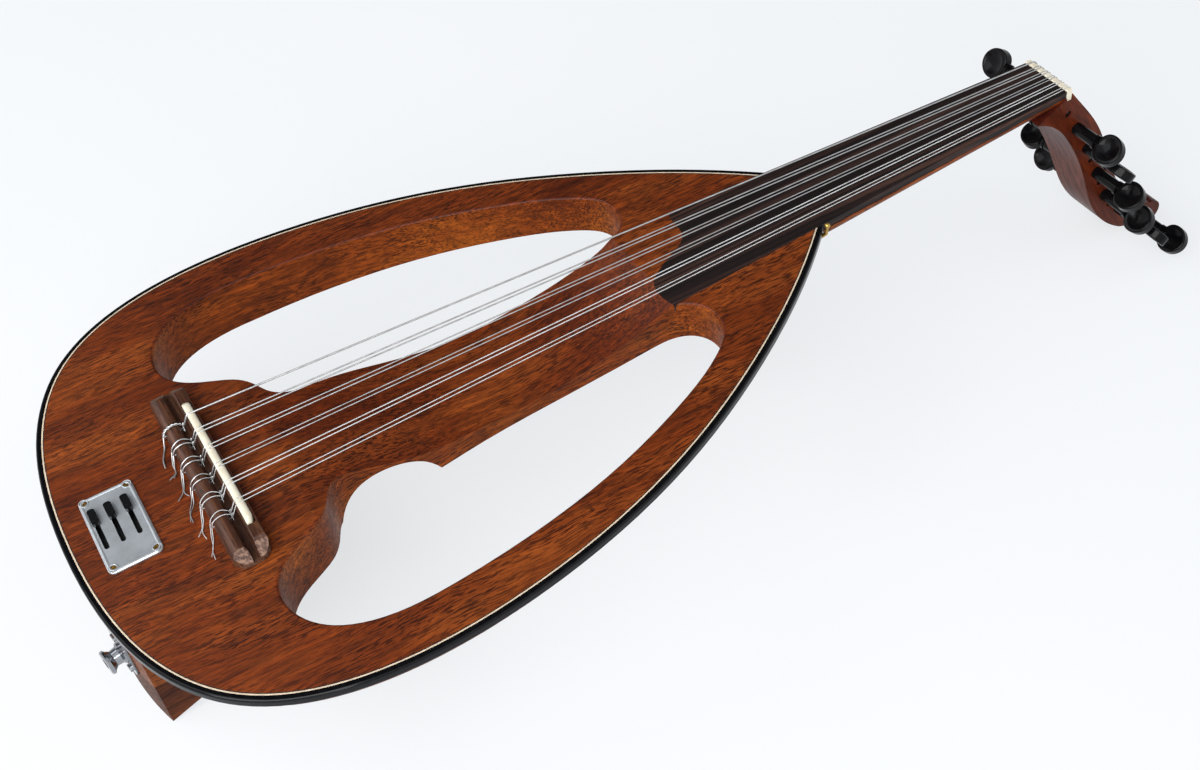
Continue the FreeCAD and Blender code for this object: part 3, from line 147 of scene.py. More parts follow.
# ------------------------------------------------------------------ node helpers
class Nodes:
    """Short calls for building one node tree."""

    def __init__(self, name):
        self.material = bpy.data.materials.new(name)
        self.material.use_nodes = True
        self.tree = self.material.node_tree
        self.shader = self.tree.nodes["Principled BSDF"]

    def add(self, kind, **values):
        node = self.tree.nodes.new(kind)
        for key, value in values.items():
            setattr(node, key, value)
        return node

    def link(self, source, target):
        self.tree.links.new(source, target)

    def scaled(self, vector, scale):
        node = self.add("ShaderNodeMapping", vector_type="POINT")
        node.inputs["Scale"].default_value = scale
        self.link(vector, node.inputs["Vector"])
        return node.outputs["Vector"]

    def along(self, lean=0.0, offset=0.0):
        """Coordinates in metres whose X runs along the instrument, or along a piece that leans."""
        where = self.add("ShaderNodeTexCoord")
        turned = self.add("ShaderNodeMapping", vector_type="POINT")
        turned.inputs["Rotation"].default_value = (0, lean - TIP_ANGLE, 0)
        turned.inputs["Location"].default_value = (offset, offset * 0.7, offset * 1.3)
        self.link(where.outputs["Object"], turned.inputs["Vector"])
        return turned.outputs["Vector"]

    def coords(self, scale):
        return self.scaled(self.along(), scale)

    def warp(self, vector, frequency, amount):
        """vector pushed about by soft noise, so that the figure wanders."""
        noise = self.noise(self.scaled(vector, (frequency,) * 3), 2.0, 0.5, "Color")
        centred = self.add("ShaderNodeVectorMath", operation="SUBTRACT")
        centred.inputs[1].default_value = (0.5, 0.5, 0.5)
        pushed = self.add("ShaderNodeVectorMath", operation="MULTIPLY_ADD")
        pushed.inputs[1].default_value = amount
        self.link(noise, centred.inputs[0])
        self.link(centred.outputs["Vector"], pushed.inputs[0])
        self.link(vector, pushed.inputs[2])
        return pushed.outputs["Vector"]

    def noise(self, vector, detail=4.0, roughness=0.55, output="Fac"):
        node = self.add("ShaderNodeTexNoise")
        node.inputs["Scale"].default_value = 1.0
        node.inputs["Detail"].default_value = detail
        node.inputs["Roughness"].default_value = roughness
        self.link(vector, node.inputs["Vector"])
        return node.outputs[output]

    def ramp(self, factor, stops, smooth=False):
        node = self.add("ShaderNodeValToRGB")
        elements = node.color_ramp.elements
        node.color_ramp.interpolation = "EASE" if smooth else "LINEAR"
        while len(elements) > 1:
            elements.remove(elements[-1])
        elements[0].position = stops[0][0]
        elements[0].color = self.rgba(stops[0][1])
        for position, colour in stops[1:]:
            elements.new(position).color = self.rgba(colour)
        self.link(factor, node.inputs["Fac"])
        return node.outputs["Color"]

    @staticmethod
    def rgba(colour):
        if isinstance(colour, (int, float)):
            return (colour, colour, colour, 1)
        return (*colour, 1)

    def mix(self, factor, a, b, blend="MIX"):
        node = self.add("ShaderNodeMix", data_type="RGBA", blend_type=blend)
        for socket, value in ((0, factor), (6, a), (7, b)):
            if isinstance(value, bpy.types.NodeSocket):
                self.link(value, node.inputs[socket])
            elif socket == 0:
                node.inputs[0].default_value = value
            else:
                node.inputs[socket].default_value = self.rgba(value)
        return node.outputs[2]

    def maths(self, operation, a, b=0.0):
        node = self.add("ShaderNodeMath", operation=operation)
        for socket, value in ((0, a), (1, b)):
            if isinstance(value, bpy.types.NodeSocket):
                self.link(value, node.inputs[socket])
            else:
                node.inputs[socket].default_value = value
        return node.outputs[0]

    def flatness(self):
        """1 on faces that lie along the soundboard and 0 on those square to it."""
        where = self.add("ShaderNodeTexCoord")
        up = self.add("ShaderNodeVectorMath", operation="DOT_PRODUCT")
        up.inputs[1].default_value = LEVEL.to_3x3() @ Vector((0, 0, 1))
        self.link(where.outputs["Normal"], up.inputs[0])
        return self.maths("ABSOLUTE", up.outputs["Value"])

    def bump(self, height, strength, distance):
        node = self.add("ShaderNodeBump")
        node.inputs["Strength"].default_value = strength
        node.inputs["Distance"].default_value = distance
        self.link(height, node.inputs["Height"])
        self.link(node.outputs["Normal"], self.shader.inputs["Normal"])

    def set(self, **values):
        for key, value in values.items():
            socket = self.shader.inputs[key.replace("_", " ")]
            if isinstance(value, bpy.types.NodeSocket):
                self.link(value, socket)
            elif isinstance(value, tuple):
                socket.default_value = self.rgba(value)
            else:
                socket.default_value = value
        return self.material


# ------------------------------------------------------------------ woods
# Noise per metre, along the grain and across it, and how far the grain and its pores wander.
FIGURE_SCALE = (6.0, 24.0, 24.0)
FIBRE_SCALE = (28.0, 330.0, 330.0)
PORE_SCALE = (125.0, 1050.0, 1050.0)
PATCH_SCALE = (18.0, 46.0, 46.0)
GRAIN_WANDER = (0.0, 0.014, 0.014)
PORE_WANDER = (0.0, 0.0016, 0.0016)

# Each wood's light, middle and dark figure, and its pores.
BODY_TONES = [(0.158, 0.0345, 0.0056), (0.106, 0.0188, 0.0029),
              (0.056, 0.0088, 0.0016), (0.013, 0.0023, 0.0008)]
PEGBOX_TONES = [(0.066, 0.010, 0.0045), (0.051, 0.0072, 0.0034),
                (0.035, 0.005, 0.0023), (0.020, 0.004, 0.002)]
LEG_TONES = [(0.155, 0.040, 0.012), (0.110, 0.026, 0.008),
             (0.066, 0.014, 0.005), (0.020, 0.004, 0.002)]
FOOT_TONES = [(0.072, 0.018, 0.010), (0.046, 0.011, 0.006),
              (0.026, 0.006, 0.004), (0.009, 0.0025, 0.0015)]
# faces square to the soundboard are painted lighter and warmer: painted light, making up for the dimmer
# light that reaches them
WALL_PAINTED_LIGHT = (1.25, 1.35, 0.75)


def wood(name, tones, pores=0.8, gloss=0.36, lean=0.0, offset=0.0, slope_shade=0.8):
    """Open-pored hardwood: wandering figure, fibre streaks and short dark pores along the grain.

    The last argument is how much darker the slopes beside the flat faces are painted: painted shade.
    """
    light, middle, dark, pore = tones
    n = Nodes(name)
    grain = n.warp(n.along(lean, offset), 10.0, GRAIN_WANDER)
    figure = n.noise(n.scaled(grain, FIGURE_SCALE), 5.0, 0.6)
    fibre = n.noise(n.scaled(grain, FIBRE_SCALE), 5.0, 0.65)
    dashes = n.noise(n.scaled(n.warp(grain, 60.0, PORE_WANDER), PORE_SCALE), 2.0, 0.45)
    patches = n.noise(n.scaled(grain, PATCH_SCALE), 3.0, 0.5)
    tone = n.ramp(figure, [(0.30, dark), (0.46, middle), (0.66, light)], True)
    colour = n.mix(1.0, tone, n.ramp(fibre, [(0.30, 0.42), (0.52, 1.0), (0.72, 1.6)]), "MULTIPLY")
    crowded = n.ramp(patches, [(0.30, 0.35), (0.60, 1.0)])
    strength = n.mix(1.0, n.ramp(dashes, [(0.50, 0.0), (0.57, 1.0)]), crowded, "MULTIPLY")
    strength = n.maths("MULTIPLY", strength, pores)
    colour = n.mix(strength, colour, pore)
    # painted shade: the sloping faces beside the flat faces are painted darker
    slope_shaded = n.mix(1.0, colour, (slope_shade, slope_shade * 0.9, slope_shade), "MULTIPLY")
    flat = n.flatness()
    colour = n.mix(n.ramp(flat, [(0.30, 0.0), (0.80, 1.0), (0.985, 1.0), (0.998, 0.0)]), colour, slope_shaded)
    # painted light: faces square to the soundboard are painted lighter and warmer
    wall_lit = n.mix(1.0, colour, WALL_PAINTED_LIGHT, "MULTIPLY")
    colour = n.mix(n.ramp(flat, [(0.25, 1.0), (0.70, 0.0)]), colour, wall_lit)
    n.bump(n.maths("SUBTRACT", fibre, n.maths("MULTIPLY", strength, 1.4)), 0.25, 0.00018)
    rough = n.ramp(fibre, [(0.2, gloss + 0.12), (0.8, gloss - 0.04)])
    shine = n.ramp(flat, [(0.30, 0.07), (0.95, 0.20)])
    return n.set(Base_Color=colour, Roughness=rough, Specular_IOR_Level=shine, Coat_Weight=0.03,
                 Coat_Roughness=0.25)


def ebony():
    """Near-black board with brown streaks along the strings."""
    n = Nodes("ebony_board")
    grain = n.warp(n.along(), 8.0, (0.0, 0.004, 0.0))
    streaks = n.noise(n.scaled(grain, (3.0, 420.0, 420.0)), 5.0, 0.65)
    broad = n.noise(n.scaled(grain, (2.0, 90.0, 90.0)), 2.0, 0.5)
    pores = n.noise(n.scaled(grain, (80.0, 1500.0, 1500.0)), 2.0, 0.5)
    brown = n.mix(n.ramp(broad, [(0.42, 0.0), (0.62, 1.0)]), (0.014, 0.007, 0.006), (0.055, 0.026, 0.019))
    colour = n.mix(n.ramp(streaks, [(0.44, 0.0), (0.60, 1.0)]), (0.006, 0.004, 0.004), brown)
    colour = n.mix(n.ramp(pores, [(0.56, 0.0), (0.64, 0.55)]), colour, (0.003, 0.002, 0.002))
    n.bump(pores, 0.2, 0.00012)
    rough = n.ramp(streaks, [(0.3, 0.46), (0.7, 0.56)])
    return n.set(Base_Color=colour, Roughness=rough, Specular_IOR_Level=0.18)


def rosewood():
    """Brown open wood of the bridge, streaked along its length and worn pale at its ends."""
    n = Nodes("bridge_rosewood")
    where = n.along()
    streaks = n.noise(n.scaled(where, (360.0, 7.0, 260.0)), 5.0, 0.6)
    pores = n.noise(n.scaled(where, (1300.0, 100.0, 1300.0)), 2.0, 0.5)
    chips = n.noise(n.scaled(where, (420.0, 420.0, 420.0)), 6.0, 0.75)
    colour = n.ramp(streaks, [(0.28, (0.015, 0.005, 0.0028)), (0.50, (0.050, 0.018, 0.009)),
                              (0.72, (0.115, 0.050, 0.026))])
    colour = n.mix(n.ramp(pores, [(0.56, 0.0), (0.63, 0.7)]), colour, (0.007, 0.003, 0.002))
    worn = n.add("ShaderNodeAttribute", attribute_name="worn").outputs["Fac"]
    bare = n.maths("MULTIPLY", n.ramp(chips, [(0.40, 0.25), (0.55, 1.0)]), worn)
    dry = n.ramp(chips, [(0.42, (0.055, 0.026, 0.018)), (0.60, (0.20, 0.115, 0.080))])
    colour = n.mix(bare, colour, dry)
    n.bump(n.maths("ADD", pores, n.maths("MULTIPLY", chips, n.maths("MULTIPLY", worn, 4.0))), 0.35, 0.00025)
    rough = n.maths("ADD", n.ramp(streaks, [(0.2, 0.42), (0.8, 0.26)]), n.maths("MULTIPLY", bare, 0.3))
    return n.set(Base_Color=colour, Roughness=rough, Specular_IOR_Level=0.3)


def polished_black(name, brown=0.0, rough=0.12, specular=0.22):
    """Polished black wood or lacquer with faint rub marks."""
    n = Nodes(name)
    grain = n.noise(n.coords((300.0, 60.0, 300.0)), 4.0, 0.6)
    marks = n.noise(n.coords((900.0, 900.0, 900.0)), 6.0, 0.7)
    light = (0.004 + brown, 0.004 + brown * 0.6, 0.0045)
    colour = n.ramp(grain, [(0.35, (0.0015, 0.0015, 0.002)), (0.75, light)])
    n.bump(marks, 0.05, 0.0001)
    rough = n.ramp(marks, [(0.35, rough), (0.75, rough + 0.10)])
    return n.set(Base_Color=colour, Roughness=rough, Specular_IOR_Level=specular)


# ------------------------------------------------------------------ other materials
def bone():
    n = Nodes("bone_cream")
    cloud = n.noise(n.coords((60.0, 60.0, 60.0)), 4.0, 0.5)
    fibre = n.noise(n.coords((700.0, 60.0, 700.0)), 4.0, 0.6)
    colour = n.ramp(cloud, [(0.3, (0.48, 0.42, 0.31)), (0.7, (0.60, 0.55, 0.45))])
    colour = n.mix(n.ramp(fibre, [(0.55, 0.0), (0.75, 0.4)]), colour, (0.32, 0.23, 0.13))
    n.bump(fibre, 0.08, 0.0001)
    rough = n.ramp(fibre, [(0.3, 0.34), (0.7, 0.46)])
    return n.set(Base_Color=colour, Roughness=rough, Subsurface_Weight=0.05)


def plain(name, colour, rough, grain=900.0, spread=0.25, bump=0.12):
    """Moulded or dull material with a fine uneven skin."""
    n = Nodes(name)
    skin = n.noise(n.coords((grain, grain, grain)), 5.0, 0.6)
    low = tuple(c * (1 - spread) for c in colour)
    high = tuple(min(1.0, c * (1 + spread)) for c in colour)
    n.bump(skin, bump, 0.0001)
    rough = n.ramp(skin, [(0.3, rough - 0.05), (0.7, rough + 0.07)])
    return n.set(Base_Color=n.ramp(skin, [(0.35, low), (0.65, high)]), Roughness=rough)


def metal(name, colour, rough, metallic=1.0, marks=0.08, smudges=90.0):
    """Plated or polished metal with smudges and fine marks."""
    n = Nodes(name)
    smudge = n.noise(n.coords((smudges, smudges, smudges)), 4.0, 0.6)
    fine = n.noise(n.coords((700.0, 700.0, 700.0)), 5.0, 0.7)
    tint = tuple(c * 0.80 for c in colour)
    n.bump(fine, marks, 0.00006)
    return n.set(Base_Color=n.ramp(smudge, [(0.35, tint), (0.62, colour)]), Metallic=metallic,
                 Roughness=n.ramp(smudge, [(0.35, rough), (0.75, rough + 0.12)]))


def winding(name, colour, pitch):
    """Metal wire wound round a string: fine rings along its length, with painted shade between the turns;
    pitch in millimetres.
    """
    n = Nodes(name)
    length = n.add("ShaderNodeUVMap", uv_map="along")
    rings = n.add("ShaderNodeTexWave", wave_type="BANDS", bands_direction="X", wave_profile="SIN")
    rings.inputs["Scale"].default_value = math.tau / (20.0 * pitch)
    n.link(length.outputs["UV"], rings.inputs["Vector"])
    spots = n.noise(n.coords((160.0, 160.0, 160.0)), 3.0, 0.6)
    shade = n.ramp(spots, [(0.3, tuple(c * 0.75 for c in colour)), (0.65, colour)])
    # painted shade: the colour is darker in the valleys between the turns of wire
    groove = n.ramp(rings.outputs["Fac"], [(0.0, 0.85), (0.45, 1.0)])
    n.bump(rings.outputs["Fac"], 0.12, 0.00004)
    rough = n.ramp(spots, [(0.3, 0.30), (0.7, 0.40)])
    return n.set(Base_Color=n.mix(1.0, shade, groove, "MULTIPLY"), Metallic=0.85, Roughness=rough)


def nylon():
    n = Nodes("nylon_string")
    cloud = n.noise(n.coords((120.0, 120.0, 120.0)), 3.0, 0.5)
    n.bump(cloud, 0.03, 0.00005)
    return n.set(Base_Color=n.ramp(cloud, [(0.3, (0.33, 0.33, 0.33)), (0.7, (0.45, 0.45, 0.45))]),
                 Roughness=n.ramp(cloud, [(0.3, 0.22), (0.7, 0.34)]))


PEGBOX_LEAN = math.atan2(PEGBOX_END.z - PEGBOX_START.z, PEGBOX_END.x - PEGBOX_START.x)


def make_materials():
    return {
        "body_wood": wood("body_mahogany", BODY_TONES),
        "pegbox_wood": wood("pegbox_mahogany", PEGBOX_TONES, 0.35, 0.36, PEGBOX_LEAN, 3.1, 0.95),
        "leg_light_wood": wood("leg_light", LEG_TONES, offset=1.7, slope_shade=0.9),
        "leg_dark_wood": wood("leg_dark", FOOT_TONES, gloss=0.45, offset=2.3, slope_shade=0.9),
        "binding_black": polished_black("binding_black", 0.0, 0.06, 0.16),
        "purfling_cream": plain("purfling_cream", (0.47, 0.38, 0.28), 0.4, 300.0, 0.15),
        "purfling_dark": plain("purfling_dark", (0.009, 0.004, 0.003), 0.4, 300.0),
        "ebony": ebony(),
        "bone": bone(),
        "rosewood": rosewood(),
        "pickup_strip": plain("pickup_strip", (0.62, 0.58, 0.50), 0.5),
        "chrome": metal("chrome_plate", (0.43, 0.455, 0.48), 0.14, 0.55, 0.10, 60.0),
        "chrome_ring": metal("chrome_ring", (0.30, 0.31, 0.33), 0.08, 1.0, 0.10, 120.0),
        "nickel": metal("nickel_plate", (0.42, 0.43, 0.45), 0.10),
        "brass": metal("brass_polished", (0.42, 0.27, 0.07), 0.20, 0.9, 0.3, 400.0),
        "board": plain("circuit_board", (0.03, 0.16, 0.06), 0.35, 500.0),
        "pot_case": plain("pot_case", (0.004, 0.004, 0.0045), 0.6),
        "battery_case": metal("battery_case", (0.10, 0.10, 0.12), 0.35),
        "snap_plastic": plain("snap_plastic", (0.02, 0.02, 0.02), 0.5),
        "lid_plastic": plain("lid_plastic", (0.020, 0.020, 0.021), 0.42, 1500.0, 0.3, 0.3),
        "lead_jacket": plain("lead_jacket", (0.02, 0.02, 0.02), 0.55),
        "knob_plastic": plain("knob_plastic", (0.003, 0.003, 0.0035), 0.16, 1200.0, 0.3, 0.1),
        "peg_ebony": polished_black("peg_ebony", 0.001, 0.12, 0.10),
        "wound_string": winding("wound_string", (0.55, 0.55, 0.55), 0.35),
        "plain_string": nylon(),
    }


MATERIALS = make_materials()
SLOT_OF = {s["node"]: s["material_slot"] for s in RECORD["subparts"]}


def dress(obj, slot):
    """Gives obj its one material."""
    obj.data.materials.clear()
    obj.data.materials.append(MATERIALS[slot])


for node_name, node in NODES.items():
    dress(node, SLOT_OF[node_name])

for node_name in ("jack_plate", "strap_button"):
    dress(NODES[node_name], "chrome_ring")


# ------------------------------------------------------------------ mesh helpers
def lerp(a, b, t):
    return a + (b - a) * t


def new_object(name, bm, body, slot, sharp_angle=40.0):
    """Turns bm, drawn level in millimetres, into a piece on a body; steep edges stay crisp."""
    bm.transform(LEVEL @ Matrix.Scale(MM, 4))
    bmesh.ops.recalc_face_normals(bm, faces=bm.faces)
    for face in bm.faces:
        face.smooth = True
    for edge in bm.edges:
        edge.smooth = len(edge.link_faces) != 2 or edge.calc_face_angle() < math.radians(sharp_angle)
    mesh = bpy.data.meshes.new(name)
    bm.to_mesh(mesh)
    bm.free()
    obj = bpy.data.objects.new(name, mesh)
    bpy.context.scene.collection.objects.link(obj)
    dress(obj, slot)
    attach(obj, body)
    return obj


def skin(bm, rings, ends=True):
    """Quads between rings of vertices, with the first and last closed; returns the sides."""
    faces = []
    for near, far in zip(rings, rings[1:]):
        count = len(near)
        for j in range(count):
            k = (j + 1) % count
            faces.append(bm.faces.new((near[j], near[k], far[k], far[j])))
    if ends:
        bm.faces.new(rings[0][::-1])
        bm.faces.new(rings[-1])
    return faces


def tube(bm, points, radius, sides=12):
    """Round tube along the points. Its first UV, "along", is the length in millimetres."""
    uv = bm.loops.layers.uv.get("along") or bm.loops.layers.uv.new("along")
    rings = []
    lengths = [0.0]
    normal = Vector((0.31, 0.27, 0.91))
    for k, point in enumerate(points):
        before, after = points[max(k - 1, 0)], points[min(k + 1, len(points) - 1)]
        tangent = (after - before).normalized()
        normal = (normal - tangent * normal.dot(tangent)).normalized()
        binormal = tangent.cross(normal)
        if k:
            lengths.append(lengths[-1] + (point - before).length)
        ring = []
        for j in range(sides):
            angle = math.tau * j / sides
            away = normal * math.cos(angle) + binormal * math.sin(angle)
            ring.append(bm.verts.new(point + away * radius))
        rings.append(ring)
    for index, face in enumerate(skin(bm, rings)):
        start, side = divmod(index, sides)
        ends = (start, start, start + 1, start + 1)
        corners = (side, side + 1, side + 1, side)
        for loop, k, j in zip(face.loops, ends, corners):
            loop[uv].uv = (lengths[k], j / sides)


def eased(points, reach, steps=5):
    """The same route with each corner turned into a short curve."""
    route = [points[0]]
    for before, corner, after in zip(points, points[1:], points[2:]):
        start = corner + (before - corner).normalized() * min(reach, (before - corner).length * 0.45)
        end = corner + (after - corner).normalized() * min(reach, (after - corner).length * 0.45)
        for k in range(steps + 1):
            t = k / steps
            route.append(start * (1 - t) ** 2 + corner * (2 * t * (1 - t)) + end * t * t)
    route.append(points[-1])
    return route


def flowing(points, steps=6):
    """A smooth curve through all the points."""
    route = []
    for k in range(len(points) - 1):
        p1, p2 = points[k], points[k + 1]
        p0 = points[k - 1] if k else p1 * 2 - p2
        p3 = points[k + 2] if k + 2 < len(points) else p2 * 2 - p1
        for step in range(steps):
            t = step / steps
            route.append((p1 * 2 + (p2 - p0) * t + (p0 * 2 - p1 * 5 + p2 * 4 - p3) * t * t
                          + (p1 * 3 - p0 - p2 * 3 + p3) * t ** 3) * 0.5)
    route.append(points[-1])
    return route


# ------------------------------------------------------------------ strings
def string_ys(index):
    """Y of a string at the saddle and at the nut: one bass string, then five pairs."""
    pairs = len(STRING_DIAMETERS) // 2
    course = (index + 1) // 2
    side = 0 if index == 0 else (1 if index % 2 else -1)
    bass_at_saddle = STRING_CENTRE_Y + SADDLE_SPREAD / 2
    at_saddle = bass_at_saddle - course * SADDLE_SPREAD / pairs + side * SADDLE_PAIR_GAP / 2
    at_nut = NUT_SPREAD / 2 - course * NUT_SPREAD / pairs + side * NUT_PAIR_GAP / 2
    return at_saddle, at_nut


def along_pegbox(point):
    direction = (PEGBOX_END - PEGBOX_START).normalized()
    return (point - PEGBOX_START).dot(direction) / PEGBOX_LENGTH


def peg_axis(index):
    """Place of the peg's axis, drawn level, and the side of its head."""
    name = "peg_%02d_turn" % (index + 1)
    joint = [j for j in RECORD["behaviour"]["joints"] if j["name"] == name][0]
    at = level(joint["pos_m"])
    return Vector((at.x, 0, at.z)), joint["axis"][1]


def wrap_place(index):
    """Where a string meets its peg: axis point there, the peg's radius and the front's direction."""
    at, side = peg_axis(PEG_OF_STRING[index])
    t = along_pegbox(at)
    slot_half = lerp(PEGBOX_HALF[0] - CHEEK[0], PEGBOX_HALF[1] - CHEEK[1], t)
    y = string_ys(index)[1] * (slot_half - CHEEK_ROOM) / (PEGBOX_HALF[0] - CHEEK[0])
    radius = PEG_ROOT_RADIUS - PEG_TAPER * (lerp(*PEGBOX_HALF, t) - side * y)
    over_nut = nut_point(index)
    run = Vector((at.x - over_nut.x, 0, at.z - over_nut.z)).normalized()
    return Vector((at.x, y, at.z)), radius, Vector((-run.z, 0, run.x))


def nut_point(index):
    height = NUT_HEIGHT + STRING_DIAMETERS[index] / 2 - NUT_NOTCH
    return Vector((NUT_LENGTH + PAST_NUT, string_ys(index)[1], height))


def string_route(index):
    """From the hole in the tie block over saddle and nut to the front of the peg."""
    y = string_ys(index)[0]
    radius = STRING_DIAMETERS[index] / 2
    axis_point, peg_radius, front = wrap_place(index)
    return [
        Vector((BRIDGE_BACK - 0.4, y, TIE_HOLE_Z)),
        Vector((TIE_FRONT + 1.2, y, TIE_HOLE_Z)),
        Vector((SADDLE_BACK, y, SADDLE_TOP - SADDLE_NOTCH + radius)),
        nut_point(index),
        axis_point + front * (peg_radius + radius + STRING_LIFT),
    ]


def tie_loop(index):
    """From the hole's rear mouth over the tie block's top, down its front and round the string."""
    y = string_ys(index)[0]
    r = STRING_DIAMETERS[index] / 2
    over = y + (0.5 if index % 2 else -0.3)
    return [
        Vector((BRIDGE_BACK - 0.3, y, TIE_HOLE_Z)),                # mouth of the hole
        Vector((BRIDGE_BACK - 0.6 - r, y, TIE_HOLE_Z + 1.2)),      # up the back face
        Vector((BRIDGE_BACK + 1.2 - r, y, 8.4 + r)),               # over the back edge
        Vector((BRIDGE_BACK + 4.2, over, TIE_TOP + 0.5 + r)),      # along the top
        Vector((TIE_FRONT - 2.6, over, TIE_TOP + 0.4 + r)),
        Vector((TIE_FRONT + 0.1 + r, y, 8.0 + r)),                 # over the front edge
        Vector((TIE_FRONT + 1.6 + r, y + 0.9 * r, 6.4)),           # down past the string
        Vector((TIE_FRONT + 2.5, y + 2.1 * r, 6.6)),               # round it, on the bass side
        Vector((TIE_FRONT + 2.1, y, 8.0 + r)),                     # back over it
        Vector((TIE_FRONT + 1.3, y - 2.0 * r, 6.4)),               # down on the treble side
        Vector((TIE_FRONT + 1.2, y - 2.8 * r - 1.2, 4.4)),         # end, in the groove
    ]


def tail_route(index):
    """Loose end that drops behind the tie block and lies on the top."""
    back, aside, bow = TAILS[index]
    y = string_ys(index)[0]
    r = STRING_DIAMETERS[index] / 2
    lying = r + TAIL_CLEARANCE
    start = Vector((BRIDGE_BACK - 0.9 - r, y, TIE_HOLE_Z + 0.2))
    fall = start + Vector((-1.2, -2.2, -2.6))
    down = start + Vector((-2.6, -6.0, lying - start.z))
    end = Vector((start.x - back, y - aside, r + TAIL_TIP_LIFT))
    across = Vector((end.y - down.y, down.x - end.x, 0)).normalized()
    middle = (down + end) / 2 + across * bow
    middle.z = lying
    return [start, fall, down, middle, end]


def twisted(points, offset, turns):
    """Two strands wound round the line through the points."""
    route = flowing(points, 10)
    strands = ([], [])
    for k, point in enumerate(route):
        before, after = route[max(k - 1, 0)], route[min(k + 1, len(route) - 1)]
        tangent = (after - before).normalized()
        side = tangent.cross(Vector((0, 1, 0.01))).normalized()
        up = tangent.cross(side)
        angle = math.tau * turns * k / len(route)
        away = (side * math.cos(angle) + up * math.sin(angle)) * offset
        strands[0].append(point + away)
        strands[1].append(point - away)
    return strands


def make_string(index):
    radius = STRING_DIAMETERS[index] / 2
    bm = bmesh.new()
    tube(bm, eased(string_route(index), 2.0), radius)
    if index == 0:
        loop = tie_loop(index)
        for strand in twisted(loop[:LOOP_TO_KNOT + 1], radius * STRAND_SPACING, STRAND_TURNS):
            tube(bm, strand, radius * STRAND_SHARE)
        tube(bm, flowing(loop[LOOP_TO_KNOT:]), radius * KNOT_SHARE)
    else:
        tube(bm, flowing(tie_loop(index)), radius * LOOP_SHARE)
    tube(bm, flowing(tail_route(index)), radius * TAIL_SHARE)
    slot = SLOT_OF["string_%02d" % (index + 1)]
    obj = new_object("string_%02d_strand" % (index + 1), bm, "instrument", slot)
    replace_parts(obj, "string_%02d" % (index + 1))


def make_coil(index):
    """Turns of the string round its peg, which go round with the peg."""
    radius = STRING_DIAMETERS[index] / 2
    axis_point, peg_radius, front = wrap_place(index)
    back = Vector((-front.z, 0, front.x))
    outward = 1 if index % 2 else -1
    route = []
    for k in range(int(COIL_TURNS * COIL_STEPS) + 1):
        angle = math.tau * k / COIL_STEPS
        away = front * math.cos(angle) - back * math.sin(angle)
        slide = Vector((0, outward * (k / COIL_STEPS + COIL_START) * radius * COIL_PITCH, 0))
        route.append(axis_point + slide + away * (peg_radius + radius + COIL_CLEARANCE))
    bm = bmesh.new()
    tube(bm, route, radius, 10)
    peg_name = "peg_%02d" % (PEG_OF_STRING[index] + 1)
    new_object("string_%02d_coil" % (index + 1), bm, peg_name, SLOT_OF["string_%02d" % (index + 1)])


for string_index in range(len(STRING_DIAMETERS)):
    make_string(string_index)
    make_coil(string_index)


# ------------------------------------------------------------------ bridge and saddle
def bridge_section(y):
    """Outline of the bridge across its length at y, and how worn each of its points is."""
    slotted = SADDLE_ENDS[0] - SLOT_PLAY < y < SADDLE_ENDS[1] + SLOT_PLAY
    floor = SLOT_FLOOR if slotted else BRIDGE_CREST
    tie_block = [(BRIDGE_BACK, 0.0), (BRIDGE_BACK, 4.4), (BRIDGE_BACK + 0.7, 6.2),
                 (BRIDGE_BACK + 1.9, 8.0), (BRIDGE_BACK + 2.9, 9.0), (BRIDGE_BACK + 4.4, TIE_TOP),
                 (TIE_FRONT - 2.4, TIE_TOP), (TIE_FRONT - 1.2, 9.1), (TIE_FRONT - 0.3, 7.9),
                 (TIE_FRONT, 6.6)]
    groove = [(TIE_FRONT, 2.9), (TIE_FRONT + 0.5, GROOVE_FLOOR), (SADDLE_BACK - 1.7, GROOVE_FLOOR),
              (SADDLE_BACK - 1.3, 3.0), (SADDLE_BACK - 1.2, 8.6), (SADDLE_BACK - 0.9, 9.8)]
    slot = [(SADDLE_BACK - SLOT_PLAY, BRIDGE_TOP - 0.3), (SADDLE_BACK - SLOT_PLAY, floor),
            (SADDLE_FRONT + SLOT_PLAY, floor), (SADDLE_FRONT + SLOT_PLAY, BRIDGE_CREST)]
    front = [(BRIDGE_FRONT - 0.7, BRIDGE_TOP - 0.3), (BRIDGE_FRONT - 0.15, BRIDGE_TOP - 1.0),
             (BRIDGE_FRONT, BRIDGE_TOP - 2.2), (BRIDGE_FRONT, 0.0)]
    end = BRIDGE_HALF - abs(y)
    chord = max(0.0, BRIDGE_CORNER - end)
    bite = BRIDGE_CORNER - math.sqrt(max(0.0, BRIDGE_CORNER ** 2 - chord ** 2))
    ceiling = END_HEIGHT + min(end, END_REACH) * END_SLOPES[0] + max(0.0, end - END_REACH) * END_SLOPES[1]
    points = []
    wear = []
    for x, z in tie_block + groove + slot + front:
        x = min(max(x, BRIDGE_BACK + bite), BRIDGE_FRONT - bite)
        points.append(Vector((x, y, min(z, ceiling))))
        carved = z > ceiling and end < WORN_REACH and z > WORN_ABOVE
        wear.append(1.0 if carved else SCUFF if end < SCUFF_REACH else 0.0)
    return points, wear


def bridge_stations():
    """Y of each section: close together at the ends and where the saddle slot starts."""
    fine, coarse, wall = 0.5, 4.0, 0.01
    dense = [BRIDGE_HALF - fine * k for k in range(34)]
    stations = set(dense) | {-y for y in dense} | {coarse * k for k in range(-14, 15)}
    for edge in (SADDLE_ENDS[0] - SLOT_PLAY, SADDLE_ENDS[1] + SLOT_PLAY):
        stations |= {edge - wall, edge + wall}
    return sorted(stations)


